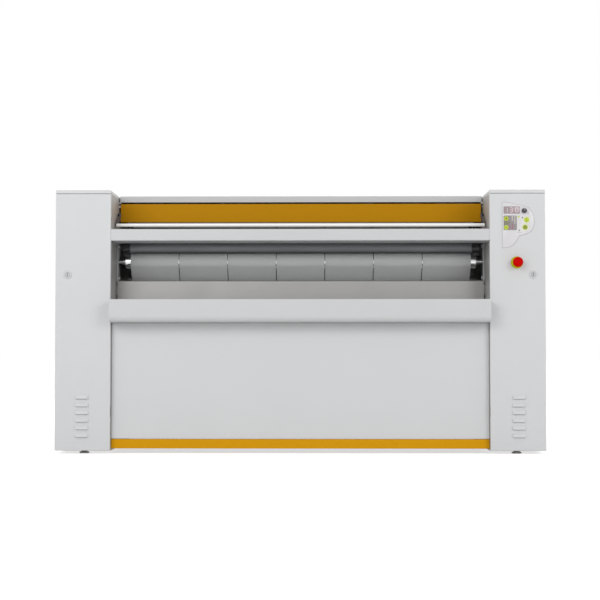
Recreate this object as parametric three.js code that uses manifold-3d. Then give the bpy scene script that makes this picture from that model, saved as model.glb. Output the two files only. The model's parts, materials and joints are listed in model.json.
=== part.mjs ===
// Flatwork ironer: one heated cylinder wrapped by seven ironing belts, between two cabinets.
// Millimetres, +Z up, +X to the operator's right, operator at -Y. Depths are measured from the
// front plane of the cabinets.
import * as THREE from 'three';
import { mergeVertices } from 'three/addons/utils/BufferGeometryUtils.js';
import Module from 'manifold-3d';

const wasm = await Module();
wasm.setup();

// ---------------------------------------------------------------- driving sizes
const overallWidth = 1930;
const overallHeight = 1040;
const cabinetWidth = 218;
const cabinetDepth = 600;
const footHeight = 12;
const footRadius = 20;
const footStud = 6;
const footSetback = 60;
const sheet = 2;
const frameSheet = 3;
const fit = 0.3;
const runningFit = 0.6;
const sideGap = 4;
const capHeight = 13.7;
const ledgeReach = 8;
const ledgeThickness = 10;
const spanGap = 4;

const trayReach = 70;
const trayLipHeight = 90;
const trayLipRadius = 24;
const trayLipReturn = 8;
const trayBackFold = 14;
const trayDrop = 229;
const spigotReach = 40;
const spigotRadius = 50;
const spigotWall = 2;

const tableRise = 51;
const fasciaHeight = 47;
const tableReturn = 130;
const tableRamp = 16;
const tableStep = 30;

const drumRadius = 125;
const drumShell = 8;
const drumSetback = 220;
const drumDrop = 205;
const drumEndGap = 37;
const journalRadius = 35;
const journalBore = 24;
const journalOverhang = 5.5;
const drumBearingRadius = 55;
const drumBearingReach = 24;
const drumFlangeRadius = 73;
const drumFlangeThickness = 6;
const freeJournalReach = 50;

const heaterCount = 6;
const heaterRadius = 6;
const heaterCircle = 84;
const heaterPipe = 12;
const heaterEndGap = 60;
const spiderThickness = 4;
const spiderWaist = 30;
const spiderArm = 0.1;
const bracketWidth = 36;
const bracketPlate = 4;

const rollerRadius = 30;
const rollerEndGap = 30;
const shaftRadius = 8;
const rollerBearingRadius = 17;
const rollerBearingReach = 16;
const feedNipAngle = 135;
const exitOffset = [-175, -66];
const tensionOffset = [-50, -195];
const rearLowerOffset = [165, -115];
const rearUpperOffset = [150, 115];

const beltCount = 7;
const beltGap = 3;
const beltMargin = 50;
const beltThickness = 3;

const driveInset = 58;
const driveBeltWidth = 28;
const driveBeltThickness = 6;
const cylinderPulley = 120;
const motorPulley = 60;
const driveDrop = 530;
const beltPlay = 1;
const flangeThickness = 2.5;
const flangeRise = 3;
const rimThickness = 6;
const hubWall = 15;
const webThickness = 8;
const lightenCount = 5;
const lightenRadius = 19;

const motorShaft = 12;
const gearboxGap = 13;
const gearboxRadius = 52;
const gearboxFoot = 20;
const gearboxInset = 12;
const motorRadius = 46;
const motorLength = 180;
const cowlLength = 34;
const ribGap = 12;
const ribPitch = 32;
const ribCount = 3;
const motorFlange = 24;
const terminalBox = [48, 64, 24];
const terminalSetback = 60;
const gearboxCorner = 14;
const standWidth = 72;
const standSheet = 4;

const guardHeight = 12.5;
const guardDepth = 26;
const guardLead = 283;
const guardClearance = 18;
const guardPivotOffset = [-180, 125];
const guardPin = 5;
const guardEye = 9;
const guardArm = 4;

const hoodLead = 157;
const hoodHeight = 68;
const hoodGap = 10.5;
const hoodLip = 12;
const hoodReturn = 40;
const topCoverLead = 155;
const topCoverHeight = 25;

const panelSetback = 27;
const panelFold = 20;
const kickBottom = 20;
const kickTop = 57;
const panelJoint = 1.5;
const rearFold = 12;
const chuteDrop = 145;
const chuteTopLead = 230;
const chuteFootLead = 246;
const beamLead = 80;
const beamLow = 60;
const beamWidth = 60;
const beamHeight = 80;
const beamWall = 4;

const ventCount = 5;
const ventPitch = 230;
const ventLength = 80;
const ventHeight = 8;
const ventRise = 50;
const slotCount = 7;
const slotPitch = 24;
const slotHeight = 7;
const slotBottom = 160;
const slotMargin = 60;

const doorFold = 18;
const doorGap = 1;
const frameSetback = 22;
const headRim = [30, 40];
const strikeWidth = 22;
const hingeInset = 8;
const hingeRadius = 5.5;
const hingePin = 2.5;
const lowHinge = 150;
const highHingeDrop = 140;
const hingeHeight = 24;
const lockInset = 48;
const lockDrop = 335;
const lockCore = 11;
const lockRim = 17;
const camWidth = 14;
const camReach = 38;
const louvreCount = 6;
const louvreWidth = 49;
const louvreHeight = 16;
const louvrePitch = 30;
const louvreDepth = 6;
const louvreInset = 107;
const louvreBottom = 66;

const keypadInset = 48;
const keypadWidth = 129;
const keypadHeight = 184;
const keypadDrop = 47;
const keypadThickness = 1.2;
const displaySize = [63, 28];
const displayPlace = [38.5, 34.5];
const knobRadius = 10.5;
const knobHeight = 13;
const knobShaft = 3;
const knobPlace = [88, 37];
const keyRadius = 9;
const keyFlange = 11;
const plusPlace = [17, 68];
const minusPlace = [17, 103];
const startPlace = [97, 73];
const stopPlace = [91, 102];
const boardDepth = 9;
const boardThickness = 1.6;
const boardMargin = 24;
const potSize = 18;
const potDepth = 6.4;
const estopPlace = [58, 241];
const estopCollar = 24;
const estopHead = 20;
const estopReach = 40;
const estopBarrel = 11;
const estopStem = 7;
const estopWaist = 20;
const estopBarrelDepth = 28;
const contactBlock = [30, 42, 38];

const fanBehind = 85;
const fanAbove = 110;
const fanGap = 62;
const fanInlet = 32;
const fanRadius = 58;
const fanWidth = 62;
const fanWall = 2;
const fanClearance = 6;
const fanGrowth = 5;
const fanSetback = 22;
const fanShaft = 6;
const fanBlades = 12;
const bladeChord = 18;
const bladeAngle = 30;
const bladeRing = 20;
const fanMotorRadius = 34;
const fanMotorLength = 56;

const caseNear = 110;
const caseDepth = 120;
const caseLow = 240;
const caseHeight = 380;
const caseGap = 40;
const caseSheet = 1.5;
const contactorWidth = 38;
const contactorPitch = 46;
const terminalWidth = 28;
const terminalPitch = 33;
const rowPitch = 105.556;
const railDepth = 8;
const railWidth = 35;
const contactorHeight = 68;
const contactorDepth = 80;
const terminalHeight = 44;
const terminalDepth = 50;
const driveUnit = [128.7, 96, 95];
const glandInset = 50;

// ---------------------------------------------------------------- derived sizes
const outer = overallWidth / 2;
const opening = outer - cabinetWidth;
const inner = opening - sideGap;
const front = -(cabinetDepth + spigotReach - trayReach) / 2;
const bodyTop = overallHeight - capHeight - fit;
const drumAxis = [cabinetDepth - drumSetback, overallHeight - drumDrop];
const [drumDepth, drumHeight] = drumAxis;
const drumHalfLength = inner - drumEndGap;
const rollerHalfLength = inner - rollerEndGap;
const tableHeight = drumHeight + tableRise;
const trayTop = drumHeight - trayDrop;
const trayFloor = trayTop - trayLipHeight;
const beltPitch = 2 * (inner - beltMargin) / beltCount;
const beltWidth = beltPitch - beltGap;
const guardFront = drumDepth - guardLead;
const guardPivot = [drumDepth + guardPivotOffset[0], drumHeight + guardPivotOffset[1]];
const topCoverLow = overallHeight - topCoverHeight;
const topCoverDepth = drumDepth - topCoverLead;
const hoodDepth = drumDepth - hoodLead;
const hoodTop = topCoverLow - hoodGap;
const chuteTop = drumHeight - chuteDrop;
const chuteTopDepth = drumDepth - chuteTopLead;
const chuteFootDepth = drumDepth - chuteFootLead;
const hingeHeights = [lowHinge, overallHeight - highHingeDrop];
const lockHeight = overallHeight - lockDrop;
const keypadLeft = opening + keypadInset;
const keypadRight = keypadLeft + keypadWidth;
const keypadTop = overallHeight - keypadDrop;
const keypadBottom = keypadTop - keypadHeight;
const onKeypad = ([x, z]) => [keypadLeft + x, keypadTop - z];
const displayAt = onKeypad(displayPlace);
const knobAt = onKeypad(knobPlace);
const estopAt = onKeypad(estopPlace);
const keysAt = [plusPlace, minusPlace, startPlace, stopPlace].map(onKeypad);
const frameFace = opening + frameSheet;

// ---------------------------------------------------------------- materials
const paint = new THREE.MeshStandardMaterial({ color: 0xd8d9da, roughness: 0.42, metalness: 0.0 });
const ochre = new THREE.MeshStandardMaterial({ color: 0xd1950c, roughness: 0.45, metalness: 0.0 });
const white = new THREE.MeshStandardMaterial({ color: 0xf2f2f0, roughness: 0.4, metalness: 0.0 });
const stainless = new THREE.MeshStandardMaterial({ color: 0xb9bbbc, roughness: 0.32, metalness: 0.9 });
const polished = new THREE.MeshStandardMaterial({ color: 0xd0d2d3, roughness: 0.12, metalness: 1.0 });
const felt = new THREE.MeshStandardMaterial({ color: 0x9c9a94, roughness: 0.95, metalness: 0.0 });
const darkSteel = new THREE.MeshStandardMaterial({ color: 0x4a4b4d, roughness: 0.5, metalness: 0.8 });
const casting = new THREE.MeshStandardMaterial({ color: 0x3d5266, roughness: 0.55, metalness: 0.2 });
const galvanised = new THREE.MeshStandardMaterial({ color: 0xa7abab, roughness: 0.45, metalness: 0.7 });
const rubber = new THREE.MeshStandardMaterial({ color: 0x1d1d1e, roughness: 0.85, metalness: 0.0 });
const membrane = new THREE.MeshStandardMaterial({ color: 0xb7bcc0, roughness: 0.5, metalness: 0.0 });
const lens = new THREE.MeshStandardMaterial({ color: 0x3a1414, roughness: 0.15, metalness: 0.0 });
const black = new THREE.MeshStandardMaterial({ color: 0x18181a, roughness: 0.5, metalness: 0.0 });
const limeKey = new THREE.MeshStandardMaterial({ color: 0xb6c24a, roughness: 0.5, metalness: 0.0 });
const oliveKey = new THREE.MeshStandardMaterial({ color: 0x7e8c2e, roughness: 0.5, metalness: 0.0 });
const yellow = new THREE.MeshStandardMaterial({ color: 0xe0c81a, roughness: 0.45, metalness: 0.0 });
const red = new THREE.MeshStandardMaterial({ color: 0xc9120c, roughness: 0.35, metalness: 0.0 });
const boardGreen = new THREE.MeshStandardMaterial({ color: 0x1f5a3a, roughness: 0.6, metalness: 0.0 });
const chrome = new THREE.MeshStandardMaterial({ color: 0xc4c6c8, roughness: 0.2, metalness: 1.0 });

// ---------------------------------------------------------------- shape helpers
const group = new THREE.Group();
const finest = 0.002;

// Signed volume tells which way the faces point; a mirrored or reversed shell is turned back.
function outward(geometry) {
  const g = geometry.index ? geometry.toNonIndexed() : geometry;
  const p = g.attributes.position.array;
  let volume = 0;
  for (let i = 0; i < p.length; i += 9) {
    volume += p[i] * (p[i + 4] * p[i + 8] - p[i + 5] * p[i + 7])
      + p[i + 1] * (p[i + 5] * p[i + 6] - p[i + 3] * p[i + 8])
      + p[i + 2] * (p[i + 3] * p[i + 7] - p[i + 4] * p[i + 6]);
  }
  if (volume < 0) {
    for (let i = 0; i < p.length; i += 9) {
      for (let k = 0; k < 3; k += 1) {
        const held = p[i + 3 + k];
        p[i + 3 + k] = p[i + 6 + k];
        p[i + 6 + k] = held;
      }
    }
  }
  return g;
}

function solid(geometry) {
  const g = outward(geometry);
  const bare = new THREE.BufferGeometry();
  bare.setAttribute('position', g.attributes.position);
  const merged = mergeVertices(bare, 1e-4);
  const mesh = new wasm.Mesh({
    numProp: 3,
    vertProperties: new Float32Array(merged.attributes.position.array),
    triVerts: new Uint32Array(merged.index.array),
  });
  return new wasm.Manifold(mesh);
}

function union(...shapes) {
  return shapes.map(asSolid).reduce((all, next) => all.add(next));
}

function cut(base, ...tools) {
  return tools.map(asSolid).reduce((rest, tool) => rest.subtract(tool), asSolid(base));
}

function asSolid(shape) {
  return shape.isBufferGeometry ? solid(shape) : shape;
}

function asGeometry(shape) {
  if (shape.isBufferGeometry) {
    return shape;
  }
  const mesh = shape.asOriginal().simplify(finest).getMesh();
  const g = new THREE.BufferGeometry();
  const count = mesh.numProp;
  const points = new Float32Array(mesh.vertProperties.length / count * 3);
  for (let i = 0; i < points.length / 3; i += 1) {
    points.set(mesh.vertProperties.subarray(i * count, i * count + 3), i * 3);
  }
  g.setAttribute('position', new THREE.BufferAttribute(points, 3));
  g.setIndex(new THREE.BufferAttribute(new Uint32Array(mesh.triVerts), 1));
  return g;
}

function place(name, shape, material) {
  const g = outward(asGeometry(shape));
  g.computeVertexNormals();
  const mesh = new THREE.Mesh(g, material);
  mesh.name = name;
  group.add(mesh);
  return mesh;
}

function mirrored(shape) {
  const g = asGeometry(shape).clone();
  g.scale(-1, 1, 1);
  return outward(g);
}

// A block between two corners; depths count back from the front plane.
function block(x0, x1, d0, d1, z0, z1) {
  const g = new THREE.BoxGeometry(Math.abs(x1 - x0), Math.abs(d1 - d0), Math.abs(z1 - z0));
  g.translate((x0 + x1) / 2, front + (d0 + d1) / 2, (z0 + z1) / 2);
  return g;
}

// How many sides a round form gets, always a multiple of four.
function sidesFor(radius) {
  return 4 * Math.round(0.72 * Math.sqrt(radius) + 0.2);
}

// Round bars along each axis.
function rodX(radius, x0, x1, d, z, sides = sidesFor(radius)) {
  const g = new THREE.CylinderGeometry(radius, radius, Math.abs(x1 - x0), sides);
  g.rotateZ(Math.PI / 2);
  g.translate((x0 + x1) / 2, front + d, z);
  return g;
}

function rodY(radius, x, d0, d1, z, sides = sidesFor(radius)) {
  const g = new THREE.CylinderGeometry(radius, radius, Math.abs(d1 - d0), sides);
  g.translate(x, front + (d0 + d1) / 2, z);
  return g;
}

function rodZ(radius, x, d, z0, z1, sides = sidesFor(radius)) {
  const g = new THREE.CylinderGeometry(radius, radius, Math.abs(z1 - z0), sides);
  g.rotateX(Math.PI / 2);
  g.translate(x, front + d, (z0 + z1) / 2);
  return g;
}

// Tools for round holes: their flats, not their corners, stand at the radius.
const flats = (radius, sides) => radius / Math.cos(Math.PI / sides);
const holeX = (radius, ...rest) => rodX(flats(radius, sidesFor(radius)), ...rest, sidesFor(radius));
const holeY = (radius, ...rest) => rodY(flats(radius, sidesFor(radius)), ...rest, sidesFor(radius));
const holeZ = (radius, ...rest) => rodZ(flats(radius, sidesFor(radius)), ...rest, sidesFor(radius));

function shapeOf(points) {
  return new THREE.Shape(points.map(([u, v]) => new THREE.Vector2(u, v)));
}

// A profile drawn in depth and height, carried along X.
function alongX(shape, x0, x1, curveSegments = 8) {
  const drawn = Array.isArray(shape) ? shapeOf(shape) : shape;
  const g = new THREE.ExtrudeGeometry(drawn, { depth: x1 - x0, bevelEnabled: false, curveSegments });
  g.applyMatrix4(new THREE.Matrix4().set(
    0, 0, 1, x0,
    1, 0, 0, front,
    0, 1, 0, 0,
    0, 0, 0, 1,
  ));
  return g;
}

// An outline drawn in X and height, carried back from one depth to another.
function alongY(shape, d0, d1, curveSegments = 8) {
  const drawn = Array.isArray(shape) ? shapeOf(shape) : shape;
  const g = new THREE.ExtrudeGeometry(drawn, { depth: d1 - d0, bevelEnabled: false, curveSegments });
  g.rotateX(Math.PI / 2);
  g.translate(0, front + d1, 0);
  return g;
}

// An outline drawn in X and depth, carried up.
function alongZ(points, z0, z1) {
  const g = new THREE.ExtrudeGeometry(shapeOf(points), { depth: z1 - z0, bevelEnabled: false });
  g.translate(0, front, z0);
  return g;
}

const widest = (profile) => Math.max(...profile.map((point) => point[1]));

// A turned piece on an X axis: its profile is a closed run of [x, radius].
function turnedX(profile, d, z, sides = sidesFor(widest(profile))) {
  const g = new THREE.LatheGeometry(profile.map(([x, r]) => new THREE.Vector2(r, x)), sides);
  g.rotateZ(-Math.PI / 2);
  g.translate(0, front + d, z);
  return outward(g);
}

// A turned piece on a Y axis: its profile is a run of [depth, radius].
function turnedY(profile, x, z, sides = sidesFor(widest(profile))) {
  const g = new THREE.LatheGeometry(profile.map(([d, r]) => new THREE.Vector2(r, d)), sides);
  g.translate(x, front, z);
  return outward(g);
}

// A turned piece standing on Z: its profile is a run of [height, radius].
function turnedZ(profile, x, d, sides = sidesFor(widest(profile))) {
  const g = new THREE.LatheGeometry(profile.map(([z, r]) => new THREE.Vector2(r, z)), sides);
  g.rotateX(Math.PI / 2);
  g.translate(x, front + d, 0);
  return outward(g);
}

// Bent sheet: a run of corners becomes a closed profile of one thickness, on the left of the run.
function bentSheet(corners, thickness = sheet) {
  const normals = corners.slice(1).map(([u, v], i) => {
    const [a, b] = corners[i];
    const length = Math.hypot(u - a, v - b);
    return [-(v - b) / length, (u - a) / length];
  });
  const offset = corners.map(([u, v], i) => {
    const n = normals[Math.max(i - 1, 0)];
    const m = normals[Math.min(i, normals.length - 1)];
    const scale = thickness / (1 + n[0] * m[0] + n[1] * m[1]);
    return [u + (n[0] + m[0]) * scale, v + (n[1] + m[1]) * scale];
  });
  return [...corners, ...offset.reverse()];
}

// A folded pan of sheet: a box with one face left open.
function pan(x0, x1, d0, d1, z0, z1, open) {
  const reach = 2 * Math.max(x1 - x0, d1 - d0, z1 - z0);
  const room = [[x0 + sheet, x1 - sheet], [d0 + sheet, d1 - sheet], [z0 + sheet, z1 - sheet]];
  const axis = { x: 0, d: 1, z: 2 }[open[1]];
  room[axis][open[0] === '+' ? 1 : 0] += open[0] === '+' ? reach : -reach;
  return cut(block(x0, x1, d0, d1, z0, z1), block(...room[0], ...room[1], ...room[2]));
}

// ---------------------------------------------------------------- belt runs
const turn = (angle) => angle * Math.PI / 180;

const offsetAxis = ([d, z]) => [drumAxis[0] + d, drumAxis[1] + z];
const nipDistance = drumRadius + rollerRadius + beltThickness + 3 * fit;
const feedAxis = offsetAxis([
  nipDistance * Math.cos(turn(feedNipAngle)),
  nipDistance * Math.sin(turn(feedNipAngle)),
]);
const exitAxis = offsetAxis(exitOffset);
const tensionAxis = offsetAxis(tensionOffset);
const rearLowerAxis = offsetAxis(rearLowerOffset);
const rearUpperAxis = offsetAxis(rearUpperOffset);

// The straight run that touches two wheels. A wheel with spin +1 lies left of the run.
function tangent(from, to) {
  const d = [to.centre[0] - from.centre[0], to.centre[1] - from.centre[1]];
  const k = to.spin * to.radius - from.spin * from.radius;
  const square = d[0] * d[0] + d[1] * d[1];
  const length = Math.sqrt(square - k * k);
  const u = [(length * d[0] + k * d[1]) / square, (length * d[1] - k * d[0]) / square];
  const n = [-u[1], u[0]];
  const touch = (w) => [w.centre[0] - w.spin * w.radius * n[0], w.centre[1] - w.spin * w.radius * n[1]];
  return { start: touch(from), end: touch(to), length, direction: u };
}

// How a run bends on one wheel, from the point where it lands to the point where it leaves.
function wrap(wheel, landing, leaving) {
  const angle = ([u, v]) => Math.atan2(v - wheel.centre[1], u - wheel.centre[0]);
  const from = angle(landing);
  const full = 2 * Math.PI;
  const swept = ((wheel.spin * (angle(leaving) - from)) % full + full) % full;
  return { from, swept: wheel.spin * swept };
}

// A closed line round a list of wheels. Its corners stand just outside the true arcs, so that
// the first and last flat on each wheel carry straight on into the runs.
function closedRun(wheels, step) {
  const runs = wheels.map((wheel, i) => tangent(wheel, wheels[(i + 1) % wheels.length]));
  return wheels.flatMap((wheel, i) => {
    const landing = runs[(i + runs.length - 1) % runs.length].end;
    const { from, swept } = wrap(wheel, landing, runs[i].start);
    const count = Math.max(1, Math.round(Math.abs(swept) / step(wheel)));
    const part = swept / count;
    const reach = wheel.radius / Math.cos(part / 2);
    return Array.from({ length: count }, (_, k) => {
      const a = from + (k + 0.5) * part;
      return [wheel.centre[0] + reach * Math.cos(a), wheel.centre[1] + reach * Math.sin(a)];
    });
  });
}

// ---------------------------------------------------------------- ironing belts
const rollerAxes = {
  feed: feedAxis,
  exit: exitAxis,
  tension: tensionAxis,
  rear_lower: rearLowerAxis,
  rear_upper: rearUpperAxis,
};

function beltWheels(side) {
  const near = fit;
  const far = fit + beltThickness;
  const onRoller = side === 'inside' ? near : far;
  const onDrum = side === 'inside' ? far : near;
  const roller = (centre) => ({ centre, radius: rollerRadius + onRoller, spin: 1 });
  return [
    roller(feedAxis),
    { centre: drumAxis, radius: drumRadius + onDrum, spin: -1 },
    roller(exitAxis),
    roller(tensionAxis),
    roller(rearLowerAxis),
    roller(rearUpperAxis),
  ];
}

const beltStep = (wheel) => (wheel.spin > 0 ? turn(30) : turn(15));
const beltOutline = closedRun(beltWheels('outside'), beltStep);
const beltRoom = closedRun(beltWheels('inside'), beltStep);

function ironingBelts() {
  const profile = shapeOf(beltOutline);
  profile.holes.push(new THREE.Path(beltRoom.map(([u, v]) => new THREE.Vector2(u, v))));
  for (let i = 0; i < beltCount; i += 1) {
    const centre = (i - (beltCount - 1) / 2) * beltPitch;
    const strip = alongX(profile, centre - beltWidth / 2, centre + beltWidth / 2);
    place(`ironing_belt_${i + 1}`, strip, felt);
  }
}

function rollers() {
  Object.entries(rollerAxes).forEach(([name, [d, z]]) => {
    const shaftEnd = frameFace + rollerBearingReach - 1;
    const body = turnedX([
      [-shaftEnd, 0],
      [-shaftEnd, shaftRadius],
      [-rollerHalfLength, shaftRadius],
      [-rollerHalfLength, rollerRadius],
      [rollerHalfLength, rollerRadius],
      [rollerHalfLength, shaftRadius],
      [shaftEnd, shaftRadius],
      [shaftEnd, 0],
    ], d, z);
    place(`${name}_roller`, body, polished);
  });
}

// ---------------------------------------------------------------- heated cylinder
const driveLine = opening + driveInset;
const driveEnd = driveLine + driveBeltWidth / 2 + beltPlay + flangeThickness + journalOverhang;
const freeEnd = frameFace + freeJournalReach;
const bracketEnd = freeEnd + 10;

function heatedCylinder() {
  const wall = drumHalfLength - drumShell;
  place('heated_cylinder', turnedX([
    [-driveEnd, journalBore],
    [-driveEnd, journalRadius],
    [-drumHalfLength, journalRadius],
    [-drumHalfLength, drumRadius],
    [drumHalfLength, drumRadius],
    [drumHalfLength, journalRadius],
    [freeEnd, journalRadius],
    [freeEnd, journalBore],
    [wall, journalBore],
    [wall, drumRadius - drumShell],
    [-wall, drumRadius - drumShell],
    [-wall, journalBore],
    [-driveEnd, journalBore],
  ], ...drumAxis), stainless);
}

// Six rod heaters on spiders round a fixed pipe, carried by a bracket on the right side frame.
function heatingElements() {
  const [d, z] = drumAxis;
  const rodEnd = drumHalfLength - heaterEndGap;
  const bracketWall = frameFace + fit;
  const shelfTop = z - drumFlangeRadius - bracketPlate;
  const half = bracketWidth / 2;
  const rods = [];
  for (let i = 0; i < heaterCount; i += 1) {
    const a = turn(360 / heaterCount * i);
    const [u, v] = [d + heaterCircle * Math.cos(a), z + heaterCircle * Math.sin(a)];
    rods.push(rodX(heaterRadius, -rodEnd, rodEnd, u, v, 6));
  }
  const spiders = [-rodEnd / 2, rodEnd / 2].map((x) => alongX(
    spiderOutline(d, z), x - spiderThickness / 2, x + spiderThickness / 2, 2,
  ));
  const bush = rodX(journalBore - 1, -driveEnd + 20, -driveEnd + 60, d, z);
  const pipe = rodX(heaterPipe, -driveEnd + 10, bracketEnd, d, z);
  const bracket = alongX(bracketPlateShape(d, z, shelfTop), bracketEnd - bracketPlate, bracketEnd);
  const shelf = block(bracketWall, bracketEnd, d - half, d + half, shelfTop - bracketPlate, shelfTop);
  const foot = block(
    bracketWall, bracketWall + bracketPlate, d - half, d + half, shelfTop - 10 * bracketPlate, shelfTop,
  );
  place('heating_elements', union(pipe, ...rods, ...spiders, bush, bracket, shelf, foot), darkSteel);
}

// A star plate with one blunt arm for each rod heater.
function spiderOutline(d, z) {
  const points = [];
  const corner = (r, a) => points.push([d + r * Math.cos(a), z + r * Math.sin(a)]);
  for (let i = 0; i < heaterCount; i += 1) {
    const a = turn(360 / heaterCount * i);
    corner(heaterCircle + heaterRadius + 5, a - spiderArm);
    corner(heaterCircle + heaterRadius + 5, a + spiderArm);
    corner(spiderWaist, a + Math.PI / heaterCount);
  }
  return points;
}

// The upright of the bracket: straight sides and a round head over the pipe.
function bracketPlateShape(d, z, bottom) {
  const half = bracketWidth / 2;
  const head = heaterPipe + 10;
  const plate = new THREE.Shape();
  plate.moveTo(d - half, bottom - bracketPlate);
  plate.lineTo(d + half, bottom - bracketPlate);
  plate.lineTo(d + head, z);
  plate.absarc(d, z, head, 0, Math.PI, false);
  plate.closePath();
  return plate;
}

// ---------------------------------------------------------------- belt drive
const driveAxes = {
  cylinder: { centre: drumAxis, radius: cylinderPulley },
  motor: { centre: [drumAxis[0], drumAxis[1] - driveDrop], radius: motorPulley },
};
const motorAxis = driveAxes.motor.centre;
const driveNear = -driveLine + driveBeltWidth / 2;
const driveFar = -driveLine - driveBeltWidth / 2;
const pulleyFloor = (wheel) => wheel.radius - driveBeltThickness / 2 - fit;

// Ribbed belt that runs straight between its two pulleys, just clear of their floors.
function driveBelt() {
  const edge = (offset) => closedRun(
    Object.values(driveAxes).map(({ centre, radius }) => ({ centre, radius: radius + offset, spin: 1 })),
    () => turn(18),
  );
  const profile = shapeOf(edge(driveBeltThickness / 2));
  const room = edge(-driveBeltThickness / 2);
  profile.holes.push(new THREE.Path(room.map(([u, v]) => new THREE.Vector2(u, v))));
  place('drive_belt', alongX(profile, driveFar, driveNear), rubber);
}

// Half profile of a pulley, [x, radius]: a rim with a flange on each side, round a hub. A dished
// pulley is hollowed on both sides down to its web.
function pulleyProfile(wheel, bore, hub, dished) {
  const floor = pulleyFloor(wheel);
  const flange = floor + driveBeltThickness + flangeRise;
  const left = driveFar - beltPlay;
  const right = driveNear + beltPlay;
  const leftFace = left - flangeThickness;
  const rightFace = right + flangeThickness;
  const web = -driveLine + webThickness / 2;
  const under = floor - rimThickness;
  const dish = (face, bottom) => [[face, hub], [bottom, hub], [bottom, under], [face, under]];
  return [
    [leftFace, bore],
    ...(dished ? dish(leftFace, web - webThickness) : []),
    [leftFace, flange],
    [left, flange],
    [left, floor],
    [right, floor],
    [right, flange],
    [rightFace, flange],
    ...(dished ? dish(rightFace, web).reverse() : []),
    [rightFace, bore],
    [leftFace, bore],
  ];
}

function pulleys() {
  const { cylinder, motor } = driveAxes;
  const hub = journalRadius + hubWall;
  const big = turnedX(pulleyProfile(cylinder, journalRadius + fit, hub, true), ...cylinder.centre);
  const reach = (hub + pulleyFloor(cylinder) - rimThickness) / 2;
  const lighten = [];
  for (let i = 0; i < lightenCount; i += 1) {
    const a = turn(360 / lightenCount * (i + 0.5));
    const [u, v] = [cylinder.centre[0] + reach * Math.cos(a), cylinder.centre[1] + reach * Math.sin(a)];
    lighten.push(rodX(lightenRadius, driveFar, driveNear, u, v, 12));
  }
  place('cylinder_pulley', cut(big, ...lighten), darkSteel);
  const small = turnedX(pulleyProfile(motor, 0, motorShaft + hubWall, false), ...motor.centre);
  const shaft = rodX(motorShaft, gearboxFace - 40, driveNear, ...motor.centre);
  place('motor_pulley', union(small, shaft), darkSteel);
}

const gearboxFace = -driveLine - driveBeltWidth / 2 - gearboxGap;

// Worm gearbox on a folded stand, with its motor lying towards the operator.
function gearmotor() {
  const [d, z] = motorAxis;
  const end = -outer + sheet + gearboxInset;
  const centre = (end + gearboxFace) / 2;
  const seat = z - gearboxRadius - gearboxFoot;
  const box = alongX(gearboxOutline(d, z, seat), end, gearboxFace, 6);
  const motorHeight = z - gearboxRadius + standSheet * 2;
  const motorBack = d - gearboxRadius;
  const motorEnd = motorBack - motorLength;
  const core = motorRadius - 4;
  const motor = turnedY([
    [motorEnd, 0],
    [motorEnd, motorRadius - 6],
    [motorEnd + 6, motorRadius],
    [motorEnd + cowlLength, motorRadius],
    [motorEnd + cowlLength, core],
    ...ribs(motorEnd + cowlLength + ribGap, ribPitch, ribCount, core, motorRadius),
    [motorBack - motorFlange, core],
    [motorBack - motorFlange, motorRadius + 4],
    [motorBack + 10, motorRadius + 4],
    [motorBack + 10, 0],
  ], centre, motorHeight, 16);
  const terminalFront = motorEnd + terminalSetback;
  const terminal = block(
    centre - terminalBox[0] / 2, centre + terminalBox[0] / 2, terminalFront, terminalFront + terminalBox[1],
    motorHeight, motorHeight + core + terminalBox[2],
  );
  const bore = holeX(motorShaft + fit, gearboxFace - 60, gearboxFace + 1, d, z);
  place('gearmotor', cut(union(box, motor, terminal, gearboxStand(centre, d, seat)), bore), casting);
}

// The gearbox casting seen from its end: round over the shaft, square-footed with round corners.
function gearboxOutline(d, z, seat) {
  const r = gearboxCorner;
  const shape = new THREE.Shape();
  shape.moveTo(d - gearboxRadius + r, seat);
  shape.lineTo(d + gearboxRadius - r, seat);
  shape.absarc(d + gearboxRadius - r, seat + r, r, -Math.PI / 2, 0, false);
  shape.lineTo(d + gearboxRadius, z);
  shape.absarc(d, z, gearboxRadius, 0, Math.PI, false);
  shape.lineTo(d - gearboxRadius, seat + r);
  shape.absarc(d - gearboxRadius + r, seat + r, r, Math.PI, 1.5 * Math.PI, false);
  return shape;
}

// A folded stand, open at both ends, that stands on the base plate of the side frame.
function gearboxStand(centre, d, seat) {
  const half = standWidth / 2;
  const room = half - standSheet;
  const base = footHeight + frameSheet + fit;
  return cut(
    block(centre - half, centre + half, d - gearboxRadius, d + gearboxRadius, base, seat + standSheet / 2),
    block(
      centre - room, centre + room, d - gearboxRadius - 1, d + gearboxRadius + 1,
      base + standSheet, seat - standSheet,
    ),
  );
}

// Cooling ribs of a motor as a stepped profile.
function ribs(start, pitch, count, low, high) {
  const points = [];
  for (let i = 0; i < count; i += 1) {
    const at = start + i * pitch;
    points.push([at, low], [at, high], [at + pitch / 2, high], [at + pitch / 2, low]);
  }
  return points;
}

// ---------------------------------------------------------------- side frames
const footInset = cabinetWidth / 2;
const footDepths = { front: footSetback, rear: cabinetDepth - footSetback };

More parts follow.
